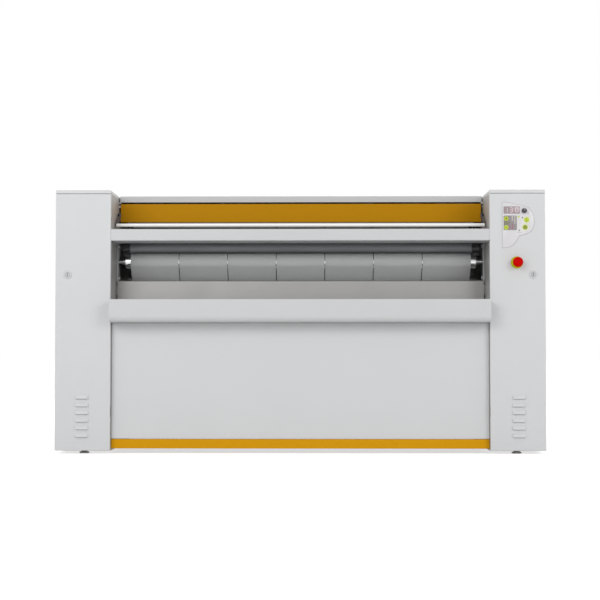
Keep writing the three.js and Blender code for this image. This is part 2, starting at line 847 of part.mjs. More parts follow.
// Ledges that carry what spans the opening: front depth, back depth, bottom, top.
const panelBack = panelSetback + panelFold;
const tableSeat = tableHeight - sheet - fit;
const hoodSeat = hoodTop - sheet - fit;
const coverSeat = topCoverLow - fit;
const tableLedge = [40, tableReturn - ledgeThickness, tableSeat - ledgeThickness, tableSeat];
const hoodLedge = [hoodDepth + 5, hoodDepth + 23, hoodSeat - ledgeThickness, hoodSeat];
const coverLedges = [
  [topCoverDepth + 1, topCoverDepth + 60, coverSeat - 6, coverSeat],
  [cabinetDepth - 80, cabinetDepth - rearFold - 4, coverSeat - 6, coverSeat],
];
const trayLedge = [panelBack + 3, chuteFootDepth - 24, trayFloor - fit - ledgeThickness, trayFloor - fit];
const chuteLedge = [chuteTopDepth + 8, chuteTopDepth + 22, chuteTop - 60, chuteTop - 20];
const panelLedge = [panelBack + fit, panelBack + 12, kickBottom + 4, trayFloor - 20];
const rearLedge = [cabinetDepth - rearFold - 12, cabinetDepth - rearFold - fit, 100, topCoverLow - 35];

function ledge([d0, d1, z0, z1]) {
  return block(opening - ledgeReach, opening + frameSheet / 2, d0, d1, z0, z1);
}

// The right-hand side frame: inner wall, base and head plates, bearings, ledges, knuckles, strike.
function sideFrame(withInlet) {
  const back = cabinetDepth - sheet - fit;
  const side = outer - sheet - fit;
  const wall = block(opening, frameFace, frameSetback, back, footHeight, bodyTop);
  const base = block(opening, side, frameSetback, back, footHeight, footHeight + frameSheet);
  const head = cut(
    block(opening, side, frameSetback, back, bodyTop - frameSheet, bodyTop),
    block(
      opening + headRim[0], outer - headRim[0], frameSetback + headRim[1], back - headRim[1],
      bodyTop - 20, bodyTop + 20,
    ),
  );
  const post = block(side - strikeWidth, side, frameSetback, frameSetback + sheet, footHeight, bodyTop);
  const bosses = Object.values(rollerAxes).map(([d, z]) => rodX(
    rollerBearingRadius, opening + 1, frameFace + rollerBearingReach, d, z, 12,
  ));
  const drumBoss = rodX(drumBearingRadius, opening + 1, frameFace + drumBearingReach, ...drumAxis);
  const flange = rodX(drumFlangeRadius, opening + 1, frameFace + drumFlangeThickness, ...drumAxis);
  const ledges = [
    tableLedge, hoodLedge, ...coverLedges, trayLedge, chuteLedge, panelLedge, rearLedge,
  ].map(ledge);
  const bores = Object.values(rollerAxes).map(([d, z]) => holeX(
    shaftRadius + runningFit, opening - 10, frameFace + rollerBearingReach + 10, d, z,
  ));
  const drumBore = holeX(
    journalRadius + runningFit, opening - 10, frameFace + drumBearingReach + 10, ...drumAxis,
  );
  const guardBore = holeX(guardPin + runningFit, opening - 10, frameFace + 10, ...guardPivot);
  const feet = Object.values(footDepths).map((d) => holeZ(
    footStud + 1, opening + footInset, d, 0, footHeight + 40,
  ));
  const inlet = withInlet ? [holeX(fanInlet + 2, opening - 10, frameFace + 10, ...fanAxis)] : [];
  const body = union(wall, base, head, post, ...bosses, drumBoss, flange, ...ledges, ...knuckles());
  return cut(body, ...bores, drumBore, guardBore, ...feet, ...inlet);
}

const hingeX = opening + hingeInset;

function knuckles() {
  return hingeHeights.map((z) => {
    const top = z + hingeHeight;
    const arm = alongZ([
      [frameFace, hingeInset + 1],
      [hingeX + 2, hingeInset + 1],
      [hingeX + 2, frameSetback + 14],
      [opening + 1, frameSetback + 14],
      [opening + 1, frameSetback],
      [frameFace, frameSetback],
    ], z, top);
    const eye = rodZ(hingeRadius, hingeX, hingeInset, z, top);
    return cut(union(arm, eye), holeZ(hingePin + fit, hingeX, hingeInset, z - 5, top + 5));
  });
}

// ---------------------------------------------------------------- cabinet skins
function outerPanel(withSpigot) {
  const skin = alongZ([
    [outer, doorFold + sheet],
    [outer, cabinetDepth],
    [opening, cabinetDepth],
    [opening, cabinetDepth - sheet],
    [outer - sheet, cabinetDepth - sheet],
    [outer - sheet, doorFold + sheet],
  ], footHeight, bodyTop);
  const slots = [];
  for (let i = 0; i < slotCount; i += 1) {
    const z = slotBottom + i * slotPitch;
    slots.push(block(
      opening + slotMargin, outer - slotMargin, cabinetDepth - 20, cabinetDepth + 20, z, z + slotHeight,
    ));
  }
  const spigot = withSpigot ? [holeY(
    spigotRadius + 1, fanOutletX, cabinetDepth - 20, cabinetDepth + 20, fanOutletZ,
  )] : [];
  return cut(skin, ...slots, ...spigot);
}

function capPanel() {
  return pan(opening, outer, 0, cabinetDepth, bodyTop + fit, overallHeight, '-z');
}

function foot(x, d) {
  return turnedZ([
    [0, 0],
    [0, footRadius],
    [footHeight / 2, footRadius - 2],
    [footHeight / 2, footStud + 5],
    [footHeight - fit, footStud + 5],
    [footHeight - fit, footStud],
    [footHeight + 22, footStud],
    [footHeight + 22, 0],
  ], x, d);
}

// ---------------------------------------------------------------- doors
const lockX = outer - lockInset;
const doorTop = bodyTop - doorGap;
const doorBottom = footHeight + 2 * doorGap;
const louvreX = outer - louvreInset;

// A pressed louvre: a hood whose lower edge stands open, over a slot of the same width.
function louvreHood(z) {
  const bulge = (grow) => {
    const hood = new THREE.Shape();
    hood.moveTo(0.5, z + louvreHeight - grow);
    hood.quadraticCurveTo(-louvreDepth + grow, z + louvreHeight * 0.72 - grow, -louvreDepth + grow, z);
    hood.lineTo(0.5, z);
    hood.closePath();
    return hood;
  };
  return alongX(bulge(0), louvreX - louvreWidth / 2, louvreX + louvreWidth / 2, 3);
}

function louvreRoom(z) {
  const room = new THREE.Shape();
  const wall = 1.4;
  room.moveTo(sheet + 5, z + louvreHeight - 5);
  room.lineTo(-0.5, z + louvreHeight - 5);
  room.quadraticCurveTo(-louvreDepth + wall, z + louvreHeight * 0.6, -louvreDepth + wall, z - 1);
  room.lineTo(-0.2, z - 1);
  room.lineTo(sheet + 5, z + 2);
  room.closePath();
  return alongX(room, louvreX - louvreWidth / 2 + wall, louvreX + louvreWidth / 2 - wall, 3);
}

function door(holes) {
  const skin = pan(opening, outer, 0, doorFold, doorBottom, doorTop, '+d');
  const heights = [];
  for (let i = 0; i < louvreCount; i += 1) {
    heights.push(louvreBottom + i * louvrePitch);
  }
  const rim = turnedY([
    [0.5, lockCore + 0.5],
    [-3, lockCore + 0.5],
    [-4, lockCore + 1.5],
    [-4, lockRim - 2],
    [-2.5, lockRim],
    [0.5, lockRim],
    [0.5, lockCore + 0.5],
  ], lockX, lockHeight);
  const notches = hingeHeights.map((z) => block(
    opening - 5, opening + sheet + 0.5, sheet + 0.5, doorFold + 5, z - 4, z + hingeHeight + 10,
  ));
  const lockHole = rodY(lockCore + 0.5, lockX, -10, 10, lockHeight, sidesFor(lockRim));
  const plain = union(skin, ...heights.map(louvreHood), rim);
  const open = cut(plain, ...heights.map(louvreRoom), lockHole, ...notches, ...holes);
  return union(open, ...hingePins());
}

// Lift-off hinge: a pin hanging from a lug on the door drops into the frame's knuckle.
function hingePins() {
  return hingeHeights.map((z) => {
    const top = z + hingeHeight;
    const lug = block(hingeX - 4, hingeX + 8, sheet / 2, hingeInset + 4, top + 1, top + 5);
    const stay = block(hingeX + 2, hingeX + 8, sheet / 2, hingeInset + 4, top + 1, top + 16);
    return union(lug, stay, rodZ(hingePin, hingeX, hingeInset, z + 4, top + 3));
  });
}

function quarterTurnLock() {
  const camNear = frameSetback + 4;
  const barrel = turnedY([
    [-3, 0],
    [-3, lockCore],
    [sheet + 0.5, lockCore],
    [sheet + 0.5, lockCore + 4],
    [sheet + 6, lockCore + 4],
    [sheet + 6, 5],
    [camNear + 3, 5],
    [camNear + 3, 0],
  ], lockX, lockHeight, sidesFor(lockRim));
  const cam = new THREE.Shape();
  const half = camWidth / 2;
  cam.absarc(lockX, lockHeight, half + 2, 0, Math.PI, false);
  cam.lineTo(lockX - half, lockHeight - camReach + half);
  cam.absarc(lockX, lockHeight - camReach + half, half, Math.PI, 2 * Math.PI, false);
  cam.closePath();
  const slot = block(lockX - 1.5, lockX + 1.5, -6, 2, lockHeight - 7, lockHeight + 7);
  return cut(union(barrel, alongY(cam, camNear, camNear + 3, 4)), slot);
}

// ---------------------------------------------------------------- what spans the opening
function feedTable() {
  const underside = tableHeight - fasciaHeight;
  const rampFoot = feedAxis[0] - rollerRadius - tableStep;
  const rampTop = tableHeight + tableRamp;
  const drumEdge = drumAxis[0] - Math.sqrt(
    (drumRadius + 12) ** 2 - (rampTop - drumAxis[1]) ** 2,
  );
  const rampEnd = Math.min(feedAxis[0] - 12, drumEdge);
  const run = [
    [rampEnd, rampTop],
    [rampFoot, tableHeight],
    [5, tableHeight],
    [1.5, tableHeight - 1.5],
    [0, tableHeight - 5],
    [0, underside],
    [tableReturn, underside],
    [tableReturn, underside + 10],
  ];
  place('feed_table', alongX(bentSheet(run), -inner, inner), paint);
}

// A flattened tube across the feed, on two cranked arms that swing about pins in the side frames.
function fingerGuard() {
  const bottom = tableHeight + guardClearance;
  const end = inner - spanGap;
  const half = guardHeight / 2;
  const tube = new THREE.Shape();
  tube.absarc(guardFront + half, bottom + half, half, Math.PI / 2, 1.5 * Math.PI, false);
  tube.absarc(guardFront + guardDepth - half, bottom + half, half, -Math.PI / 2, Math.PI / 2, false);
  tube.closePath();
  const bar = alongX(tube, -end, end, 6);
  const [pivotD, pivotZ] = guardPivot;
  const arm = new THREE.Shape();
  arm.moveTo(guardFront + half, bottom + 2);
  arm.lineTo(guardFront + guardDepth, bottom + 2);
  arm.lineTo(pivotD + guardEye - 2, pivotZ - guardEye + 2);
  arm.absarc(pivotD, pivotZ, guardEye, -0.6, 2.2, false);
  arm.lineTo(guardFront + half, bottom + guardHeight - 1);
  arm.closePath();
  const arms = [-1, 1].flatMap((side) => {
    const out = side * end;
    const inside = side * (end - guardArm);
    const plate = alongX(arm, Math.min(out, inside), Math.max(out, inside), 6);
    return [plate, rodX(guardPin, inside, side * (frameFace + spanGap), pivotD, pivotZ)];
  });
  place('finger_guard', union(bar, ...arms), white);
}

function hoodFront() {
  const bottom = hoodTop - hoodHeight;
  const end = inner - spanGap;
  const run = [
    [hoodDepth + hoodReturn, hoodTop],
    [hoodDepth, hoodTop],
    [hoodDepth, bottom + spanGap],
    [hoodDepth + spanGap, bottom],
    [hoodDepth + hoodLip, bottom],
  ];
  place('hood_front', alongX(bentSheet(run), -end, end), ochre);
}

function topCover() {
  place('top_cover', pan(
    -inner, inner, topCoverDepth, cabinetDepth, topCoverLow, overallHeight, '-z',
  ), paint);
}

// Collecting tray: a rolled front lip, a floor that slopes back, and low end walls.
function collectionTray() {
  const back = chuteFootDepth + trayLipRadius;
  const axis = [-trayReach + trayLipRadius, trayFloor + trayLipRadius];
  const lipEnd = -trayReach + trayLipReturn;
  const outline = new THREE.Shape();
  outline.moveTo(lipEnd, trayTop);
  outline.lineTo(-trayReach + 3, trayTop);
  outline.quadraticCurveTo(-trayReach, trayTop, -trayReach, trayTop - 3);
  outline.lineTo(-trayReach, axis[1]);
  outline.absarc(...axis, trayLipRadius, Math.PI, 1.5 * Math.PI, false);
  outline.lineTo(back, trayFloor);
  outline.lineTo(back, trayFloor + trayBackFold);
  outline.lineTo(back - sheet, trayFloor + trayBackFold);
  outline.lineTo(back - sheet, trayFloor + sheet);
  outline.lineTo(axis[0], trayFloor + sheet);
  outline.absarc(...axis, trayLipRadius - sheet, 1.5 * Math.PI, Math.PI, true);
  outline.lineTo(-trayReach + sheet, trayTop - sheet);
  outline.lineTo(lipEnd, trayTop - sheet);
  outline.closePath();
  const walls = [-inner, inner - sheet].map((x) => alongX(trayEnd(axis, back), x, x + sheet, 5));
  place('collection_tray', union(alongX(outline, -inner, inner, 5), ...walls), paint);
}

// The low end wall of the tray: full height over the lip, then swept down to the back fold.
function trayEnd(axis, back) {
  const top = trayTop - sheet / 2;
  const low = trayFloor + trayBackFold - 1;
  const end = new THREE.Shape();
  end.moveTo(-trayReach + 1, top);
  end.lineTo(-trayReach + 1, axis[1]);
  end.absarc(...axis, trayLipRadius - 1, Math.PI, 1.5 * Math.PI, false);
  end.lineTo(back - 1, trayFloor + 1);
  end.lineTo(back - 1, low);
  end.lineTo(trayReach / 2, low);
  end.quadraticCurveTo(0, low + 7, 0, top);
  end.closePath();
  return end;
}

// Sloping plate that guides the linen from the exit roller down to the tray.
function chutePlate() {
  const run = [
    [chuteTopDepth + 14, chuteTop - 3],
    [chuteTopDepth + 4, chuteTop],
    [chuteTopDepth, chuteTop - 3],
    [chuteFootDepth, trayFloor + sheet + fit],
  ];
  const end = inner - sheet - 1;
  place('chute_plate', alongX(bentSheet(run), -end, end), stainless);
}

function frontPanels() {
  place('front_panel', pan(
    -inner, inner, panelSetback, panelBack, kickTop + panelJoint, trayFloor - 1, '+d',
  ), paint);
  place('kick_strip', pan(-inner, inner, panelSetback, panelBack, kickBottom, kickTop, '+d'), ochre);
  place('rear_panel', cut(
    pan(-inner, inner, cabinetDepth - rearFold, cabinetDepth, rearPanelLow, topCoverLow - 3, '-d'),
    ...rearVents(),
  ), galvanised);
}

const rearPanelLow = kickTop + 3;

// A row of round-ended vent slots along the foot of the rear panel.
function rearVents() {
  const vents = [];
  const end = ventHeight / 2;
  const reach = ventLength / 2 - end;
  const z = rearPanelLow + ventRise;
  for (let i = 0; i < ventCount; i += 1) {
    const x = (i - (ventCount - 1) / 2) * ventPitch;
    const slot = new THREE.Shape();
    slot.absarc(x - reach, z, end, Math.PI / 2, 1.5 * Math.PI, false);
    slot.absarc(x + reach, z, end, -Math.PI / 2, Math.PI / 2, false);
    slot.closePath();
    vents.push(alongY(slot, cabinetDepth - 6, cabinetDepth + 6, 2));
  }
  return vents;
}

// Hollow tie beam that joins the two side frames under the cylinder.
function tieBeam() {
  const end = opening - fit;
  const near = drumDepth - beamLead - beamWidth / 2;
  const far = near + beamWidth;
  const top = beamLow + beamHeight;
  place('tie_beam', cut(
    block(-end, end, near, far, beamLow, top),
    block(-end - 5, end + 5, near + beamWall, far - beamWall, beamLow + beamWall, top - beamWall),
  ), galvanised);
}

// ---------------------------------------------------------------- exhaust fan
const fanAxis = [drumDepth + fanBehind, drumHeight + fanAbove];
const fanLeft = frameFace + fanGap;
const fanRight = fanLeft + fanWidth;
const fanOutletX = fanLeft + fanWidth / 2;
const fanOutletZ = fanAxis[1] - 8;
const fanOutletDepth = cabinetDepth - fanSetback;
const scrollLow = fanAxis[1] - fanRadius - fanClearance - fanGrowth - fanWall;
const scrollHigh = fanAxis[1] + fanRadius + fanClearance + fanWall;

// A spiral casing drawn as growing quarter arcs, open at its inlet and towards the spigot.
function scroll(offset, end) {
  const [d, z] = fanAxis;
  const first = fanRadius + fanClearance + offset;
  const outline = new THREE.Shape();
  outline.moveTo(end, z + first);
  outline.lineTo(d, z + first);
  outline.absarc(d, z, first, Math.PI / 2, Math.PI, false);
  outline.absarc(d + fanGrowth, z, first + fanGrowth, Math.PI, 1.5 * Math.PI, false);
  outline.lineTo(end, z - first - fanGrowth);
  outline.closePath();
  return outline;
}

function fanHousing() {
  const end = fanOutletDepth - fanWall - fit;
  const shell = alongX(scroll(fanWall, end), fanLeft, fanRight, 6);
  const room = alongX(scroll(0, end + 1), fanLeft + fanWall, fanRight - fanWall, 6);
  const eye = holeX(fanInlet - fanWall, fanLeft - 1, fanLeft + fanWall + 1, ...fanAxis);
  const hubHole = holeX(fanShaft + 3, fanRight - 10, fanRight + 10, ...fanAxis);
  place('fan_housing', cut(shell, room, eye, hubHole), galvanised);
}

// A spun ring that leads the air from the side frame's hole to the eye of the casing.
function fanInletRing() {
  const left = frameFace + fit;
  const right = fanLeft - fit;
  place('fan_inlet_ring', turnedX([
    [left, fanInlet - fanWall],
    [left, fanInlet + 10],
    [left + fanWall, fanInlet + 10],
    [left + fanWall, fanInlet],
    [right, fanInlet],
    [right, fanInlet - fanWall],
    [left, fanInlet - fanWall],
  ], ...fanAxis, 16), galvanised);
}

// Flanged spigot on the casing's outlet, out through the rear panel, with a bead for the duct.
function exhaustSpigot() {
  const plate = block(
    fanOutletX - spigotRadius - 4, fanOutletX + spigotRadius + 4,
    fanOutletDepth - fanWall, fanOutletDepth, scrollLow, scrollHigh,
  );
  const tip = cabinetDepth + spigotReach;
  const tube = rodY(spigotRadius, fanOutletX, fanOutletDepth - 1, tip, fanOutletZ, 20);
  const bead = rodY(spigotRadius + 1.5, fanOutletX, tip - 18, tip - 13, fanOutletZ, 20);
  const bore = rodY(spigotRadius - spigotWall, fanOutletX, fanOutletDepth - 10, tip + 1, fanOutletZ, 20);
  place('exhaust_spigot', cut(union(plate, tube, bead), bore), galvanised);
}

function fanImpeller() {
  const [d, z] = fanAxis;
  const left = fanLeft + fanWall + fanClearance;
  const right = fanRight - fanWall - fanClearance;
  const blades = [];
  for (let i = 0; i < fanBlades; i += 1) {
    const blade = new THREE.BoxGeometry(right - left - 1, 2, bladeChord);
    blade.rotateX(turn(bladeAngle));
    blade.translate(left + (right - left) / 2, 0, fanRadius - 12);
    blade.rotateX(2 * Math.PI / fanBlades * i);
    blade.translate(0, front + d, z);
    blades.push(blade);
  }
  const plate = rodX(fanRadius, right - 3, right, d, z);
  const ring = cut(
    rodX(fanRadius, left, left + 2, d, z),
    rodX(fanRadius - bladeRing, left - 5, left + 5, d, z),
  );
  const shaft = rodX(fanShaft, left + 14, fanRight + 18, d, z);
  const hub = rodX(fanShaft + 8, right - 16, right, d, z);
  place('fan_impeller', union(plate, ring, ...blades, shaft, hub), galvanised);
}

function fanMotor() {
  const left = fanRight + fit;
  const bore = fanShaft + runningFit;
  const end = left + fanMotorLength;
  place('fan_motor', turnedX([
    [left, bore],
    [left, fanMotorRadius],
    [end - 6, fanMotorRadius],
    [end, fanMotorRadius - 6],
    [end, 0],
    [left + 24, 0],
    [left + 24, bore],
    [left, bore],
  ], ...fanAxis), darkSteel);
}

// ---------------------------------------------------------------- control gear
// Back plate with two rails of contactors, a drive and terminals, in a case open to the door.
function controlBox() {
  const left = frameFace + fit;
  const right = outer - sheet - caseGap;
  const far = caseNear + caseDepth;
  const high = caseLow + caseHeight;
  const row = (k) => caseLow + k * rowPitch;
  const gland = (x) => rodZ(12, x, caseNear + caseDepth / 2, caseLow - 5, caseLow + 5);
  const shell = cut(
    block(left, right, caseNear, far, caseLow, high),
    block(
      left + caseSheet, right - caseSheet, caseNear - 10, far - caseSheet,
      caseLow + caseSheet, high - caseSheet,
    ),
    gland(left + glandInset),
    gland(right - glandInset),
  );
  const rails = [1, 2].map((k) => block(
    left + 12, right - 12, far - railDepth - 1, far - caseSheet / 2, row(k) - railWidth / 2, row(k) + railWidth / 2,
  ));
  const contactors = [0, 1, 2].map((i) => {
    const x = left + 16 + i * contactorPitch;
    const [half, depth] = [contactorHeight / 2, far - contactorDepth];
    return union(
      block(x, x + contactorWidth, depth, far - railDepth, row(2) - half, row(2) + half),
      block(x + 6, x + contactorWidth - 6, depth - 12, depth + 1, row(2) - half + 14, row(2) + half - 14),
    );
  });
  const terminals = [0, 1, 2, 3].map((i) => {
    const x = left + 18 + i * terminalPitch;
    const half = terminalHeight / 2;
    return block(x, x + terminalWidth, far - terminalDepth, far - railDepth, row(1) - half, row(1) + half);
  });
  const [width, height, depth] = driveUnit;
  const drive = block(
    left + 20, left + 20 + width, far - depth, far - caseSheet / 2, row(3) - height / 2, row(3) + height / 2,
  );
  place('control_box', union(shell, ...rails, ...contactors, ...terminals, drive), galvanised);
}

// ---------------------------------------------------------------- operator's controls
const keypadFace = -fit - keypadThickness;
const keyHole = keyRadius + fit;

// Membrane outline: square on the left, a sloping head, a round right side, a hollow foot.
function keypadOutline() {
  const outline = new THREE.Shape();
  const [left, right, bottom, top] = [keypadLeft, keypadRight, keypadBottom, keypadTop];
  const shoulder = top - 14;
  const waist = bottom + 0.26 * keypadHeight;
  outline.moveTo(left, bottom);
  outline.lineTo(left, top - 8);
  outline.quadraticCurveTo(left, top, left + 9, top);
  outline.lineTo(right - 0.4 * keypadWidth, shoulder);
  outline.bezierCurveTo(right - 18, shoulder - 3, right, top - 48, right, top - 0.43 * keypadHeight);
  outline.bezierCurveTo(
    right, bottom + 0.39 * keypadHeight, right - 18, waist + 5, right - 0.465 * keypadWidth, waist,
  );
  outline.bezierCurveTo(
    right - 0.53 * keypadWidth, waist - 22, right - 0.65 * keypadWidth, bottom + 4, left + 18, bottom,
  );
  outline.closePath();
  return outline;
}

function keypadPanel() {
  const [dx, dz] = displayAt;
  const [w, h] = displaySize;
  const holes = keysAt.map(([x, z]) => holeY(keyHole, x, -5, 5, z));
  const plate = alongY(keypadOutline(), keypadFace, -fit, 5);
  const cutout = block(dx - w / 2 - fit, dx + w / 2 + fit, -5, 5, dz - h / 2 - fit, dz + h / 2 + fit);
  const knobHole = holeY(knobShaft + 1, knobAt[0], -5, 5, knobAt[1]);
  place('keypad_panel', cut(plate, cutout, ...holes, knobHole), membrane);
  place('display_window', block(
    dx - w / 2, dx + w / 2, keypadFace - 0.4, -fit, dz - h / 2, dz + h / 2,
  ), lens);
}

const keyTravel = 1.6;
const keyBack = sheet + 3;

// A push key: a crowned face, a stem through the door and a flange that keeps it in.
function key(name, [x, z], material) {
  const face = keypadFace - 1.8;
  place(name, turnedY([
    [face, 0],
    [face + 0.3, keyRadius - 2.5],
    [face + 1.0, keyRadius - 0.5],
    [face + 1.6, keyRadius],
    [sheet + keyTravel, keyRadius],
    [sheet + keyTravel, keyFlange],
    [keyBack, keyFlange],
    [keyBack, 0],
  ], x, z), material);
}

function knob() {
  const [x, z] = knobAt;
  const back = keypadFace - fit;
  const body = turnedY([
    [back - knobHeight, 0],
    [back - knobHeight, knobRadius - 3],
    [back - knobHeight + 1, knobRadius - 2],
    [back - 2, knobRadius],
    [back, knobRadius],
    [back, knobShaft],
    [sheet + 12, knobShaft],
    [sheet + 12, 0],
  ], x, z);
  const grip = block(x - 2, x + 2, back - knobHeight - 2, back - 1, z - knobRadius + 2, z + knobRadius - 1);
  place('speed_knob', union(body, grip), black);
}

// Circuit board behind the keys, on four posts of the door.
const boardLeft = keypadLeft + 2;
const boardRight = knobAt[0] + boardMargin;
const boardBottom = keypadTop - minusPlace[1] - boardMargin;
const boardTop = keypadTop - 10;

function controlBoard() {
  const back = boardDepth + boardThickness;
  const board = block(boardLeft, boardRight, boardDepth, back, boardBottom, boardTop);
  const [dx, dz] = displayAt;
  const [w, h] = displaySize.map((size) => size / 2 - 3.5);
  const [kx, kz] = knobAt;
  const readout = block(dx - w, dx + w, boardDepth - 5, boardDepth + 0.5, dz - h, dz + h);
  const half = potSize / 2;
  const pot = block(kx - half, kx + half, back - 0.6, back + potDepth, kz - half, kz + half);
  const bore = holeY(knobShaft + runningFit, kx, boardDepth - 10, back + potDepth + 2, kz);
  const switches = keysAt.map(([x, z]) => block(
    x - 4, x + 4, keyBack + keyTravel, boardDepth + 0.5, z - 4, z + 4,
  ));
  place('control_board', cut(union(board, readout, pot, ...switches), bore), boardGreen);
}

function boardPosts() {
  return [
    [boardLeft + 5, boardBottom + 5],
    [boardRight - 5, boardBottom + 5],
    [boardLeft + 5, boardTop - 4],
    [boardRight - 4, boardTop - 4],
  ].map(([x, z]) => rodY(2.5, x, sheet / 2, boardDepth - fit, z));
}

function estop() {
  const [x, z] = estopAt;
  const bore = estopStem + runningFit;
  const tip = -fit - estopReach;
  const ring = turnedY([
    [-fit, bore],
    [-fit - 9, bore],
    [-fit - 9, estopCollar - 9],
    [-fit - 3, estopCollar - 5],
    [-fit - 3, estopCollar],
    [-fit, estopCollar],
    [-fit, estopBarrel],
    [sheet + estopBarrelDepth, estopBarrel],
    [sheet + estopBarrelDepth, bore],
    [-fit, bore],
  ], x, z);
  const nut = turnedY([
    [sheet + fit, estopBarrel - 1],
    [sheet + fit, estopBarrel + 5],
    [sheet + 5, estopBarrel + 5],
    [sheet + 5, estopBarrel - 1],
    [sheet + fit, estopBarrel - 1],
  ], x, z, 6);
  const contacts = cut(
    block(
      x - contactBlock[0] / 2, x + contactBlock[0] / 2, sheet + 14, sheet + 14 + contactBlock[2],
      z - contactBlock[1] / 2, z + contactBlock[1] / 2,
    ),
    rodY(bore, x, sheet, sheet + estopBarrelDepth + 8, z, sidesFor(estopCollar)),
  );
  place('estop_collar', union(ring, nut, contacts), yellow);
  place('estop_plunger', turnedY([
    [tip + 6, 0],
    [tip + 6, estopStem - 2],
    [tip + estopWaist, estopStem - 2],
    [tip + estopWaist, estopStem],
    [sheet + estopBarrelDepth - 4, estopStem],
    [sheet + estopBarrelDepth - 4, 0],
  ], x, z), chrome);
  place('estop_head', turnedY([
    [tip, 0],
    [tip + 1, estopHead - 5],
    [tip + 4, estopHead - 1],
    [tip + 7, estopHead],
    [tip + 11, estopHead],
    [tip + 13, estopHead - 4],
    [tip + estopWaist - fit, estopStem + 3],
    [tip + estopWaist - fit, estopStem - 2 + fit],
    [tip + 6 - fit, estopStem - 2 + fit],
    [tip + 6 - fit, 0],
  ], x, z), red);
}

// ---------------------------------------------------------------- assembly
function cabinets() {
  place('right_side_frame', sideFrame(true), stainless);
  place('left_side_frame', mirrored(sideFrame(false)), stainless);
  place('right_outer_panel', outerPanel(true), paint);
  place('left_outer_panel', mirrored(outerPanel(false)), paint);
  place('right_top_cover', capPanel(), paint);
  place('left_top_cover', mirrored(capPanel()), paint);
  const holes = [
    ...keysAt.map(([x, z]) => holeY(keyHole, x, -5, 5, z)),
    holeY(knobShaft + 1, knobAt[0], -5, 5, knobAt[1]),
    holeY(estopBarrel + 0.5, estopAt[0], -5, 5, estopAt[1]),
  ];
  place('right_door', union(door(holes), ...boardPosts()), paint);
  place('left_door', mirrored(door([])), paint);
  place('right_lock', quarterTurnLock(), galvanised);
  place('left_lock', mirrored(quarterTurnLock()), galvanised);
}

function feet() {
  Object.entries(footDepths).forEach(([end, d]) => {
    place(`right_foot_${end}`, foot(opening + footInset, d), rubber);
    place(`left_foot_${end}`, foot(-opening - footInset, d), rubber);
  });
}

cabinets();
feet();
frontPanels();
tieBeam();
feedTable();
fingerGuard();
hoodFront();
topCover();
collectionTray();
chutePlate();
heatedCylinder();
heatingElements();
rollers();
ironingBelts();
pulleys();
driveBelt();
gearmotor();
fanHousing();
fanInletRing();
exhaustSpigot();
fanImpeller();
fanMotor();
controlBox();
keypadPanel();
key('plus_key', keysAt[0], limeKey);
key('minus_key', keysAt[1], limeKey);
key('start_key', keysAt[2], limeKey);
key('stop_key', keysAt[3], oliveKey);
knob();
controlBoard();
estop();

export default group;
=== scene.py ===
import json
from math import atan2, cos, pi, radians, sin, sqrt

import bmesh
import bpy
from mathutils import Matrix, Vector


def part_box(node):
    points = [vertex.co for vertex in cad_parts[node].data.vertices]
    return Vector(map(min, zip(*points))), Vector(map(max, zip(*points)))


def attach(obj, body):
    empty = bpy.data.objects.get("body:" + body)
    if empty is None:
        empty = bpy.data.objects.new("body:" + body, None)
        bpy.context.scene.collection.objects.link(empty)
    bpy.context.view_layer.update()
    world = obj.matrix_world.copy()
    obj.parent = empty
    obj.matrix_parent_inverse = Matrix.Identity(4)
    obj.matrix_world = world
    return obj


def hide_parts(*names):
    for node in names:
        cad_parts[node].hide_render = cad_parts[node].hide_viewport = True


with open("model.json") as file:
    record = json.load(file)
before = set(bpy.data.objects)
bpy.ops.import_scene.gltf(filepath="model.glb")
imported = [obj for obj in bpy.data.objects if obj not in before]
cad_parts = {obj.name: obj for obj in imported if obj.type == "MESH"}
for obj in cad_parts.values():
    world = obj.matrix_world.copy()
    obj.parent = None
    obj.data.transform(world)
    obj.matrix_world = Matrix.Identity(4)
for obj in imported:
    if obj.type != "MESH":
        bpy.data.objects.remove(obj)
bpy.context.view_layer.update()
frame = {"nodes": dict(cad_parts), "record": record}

# -------- the room
# A plain white floor and background, lit softly from the front and above.
# The camera stands low in front of the machine, a little to the right, and looks slightly up.
scene = bpy.context.scene
scene.view_settings.view_transform = "Standard"

camera_data = bpy.data.cameras.new("camera")
camera_data.lens = 83.39
camera_data.clip_end = 200
camera = bpy.data.objects.new("camera", camera_data)
camera.location = (0.0661, -5.7496, 0.3979)
camera.rotation_euler = (radians(90 + 2.167), 0, radians(0.69))
scene.collection.objects.link(camera)
scene.camera = camera


def blank_material(name):
    material = bpy.data.materials.new(name)
    material.use_nodes = True
    return material, material.node_tree, material.node_tree.nodes["Principled BSDF"]


def feed(made, feeds):
    """Feeds a node's inputs with numbers or with other nodes' sockets."""
    for socket, source in feeds.items():
        if isinstance(source, bpy.types.NodeSocket):
            made.id_data.links.new(source, made.inputs[socket])
        else:
            made.inputs[socket].default_value = source


def node(tree, kind, feeds=None, **settings):
    made = tree.nodes.new("ShaderNode" + kind)
    for key, value in settings.items():
        setattr(made, key, value)
    feed(made, feeds or {})
    return made


def maths(tree, operation, *values):
    return node(tree, "Math", dict(enumerate(values)), operation=operation).outputs[0]


def spread(tree, value, low, high):
    """A 0 to 1 value stretched to run from low to high."""
    return node(tree, "MapRange", {"Value": value, "To Min": low, "To Max": high}).outputs[0]


def seen_directly(tree):
    """1 for rays from the camera, a mirror or glass, and 0 for those that light the object."""
    path = node(tree, "LightPath").outputs
    camera_or_glossy = maths(tree, "MAXIMUM", path["Is Camera Ray"], path["Is Glossy Ray"])
    return maths(tree, "MAXIMUM", camera_or_glossy, path["Is Transmission Ray"])


world = bpy.data.worlds.new("world")
world.use_nodes = True
scene.world = world
tree = world.node_tree
feed(tree.nodes["Background"],
     {"Color": (1, 1, 1, 1), "Strength": spread(tree, seen_directly(tree), 0.56, 1)})

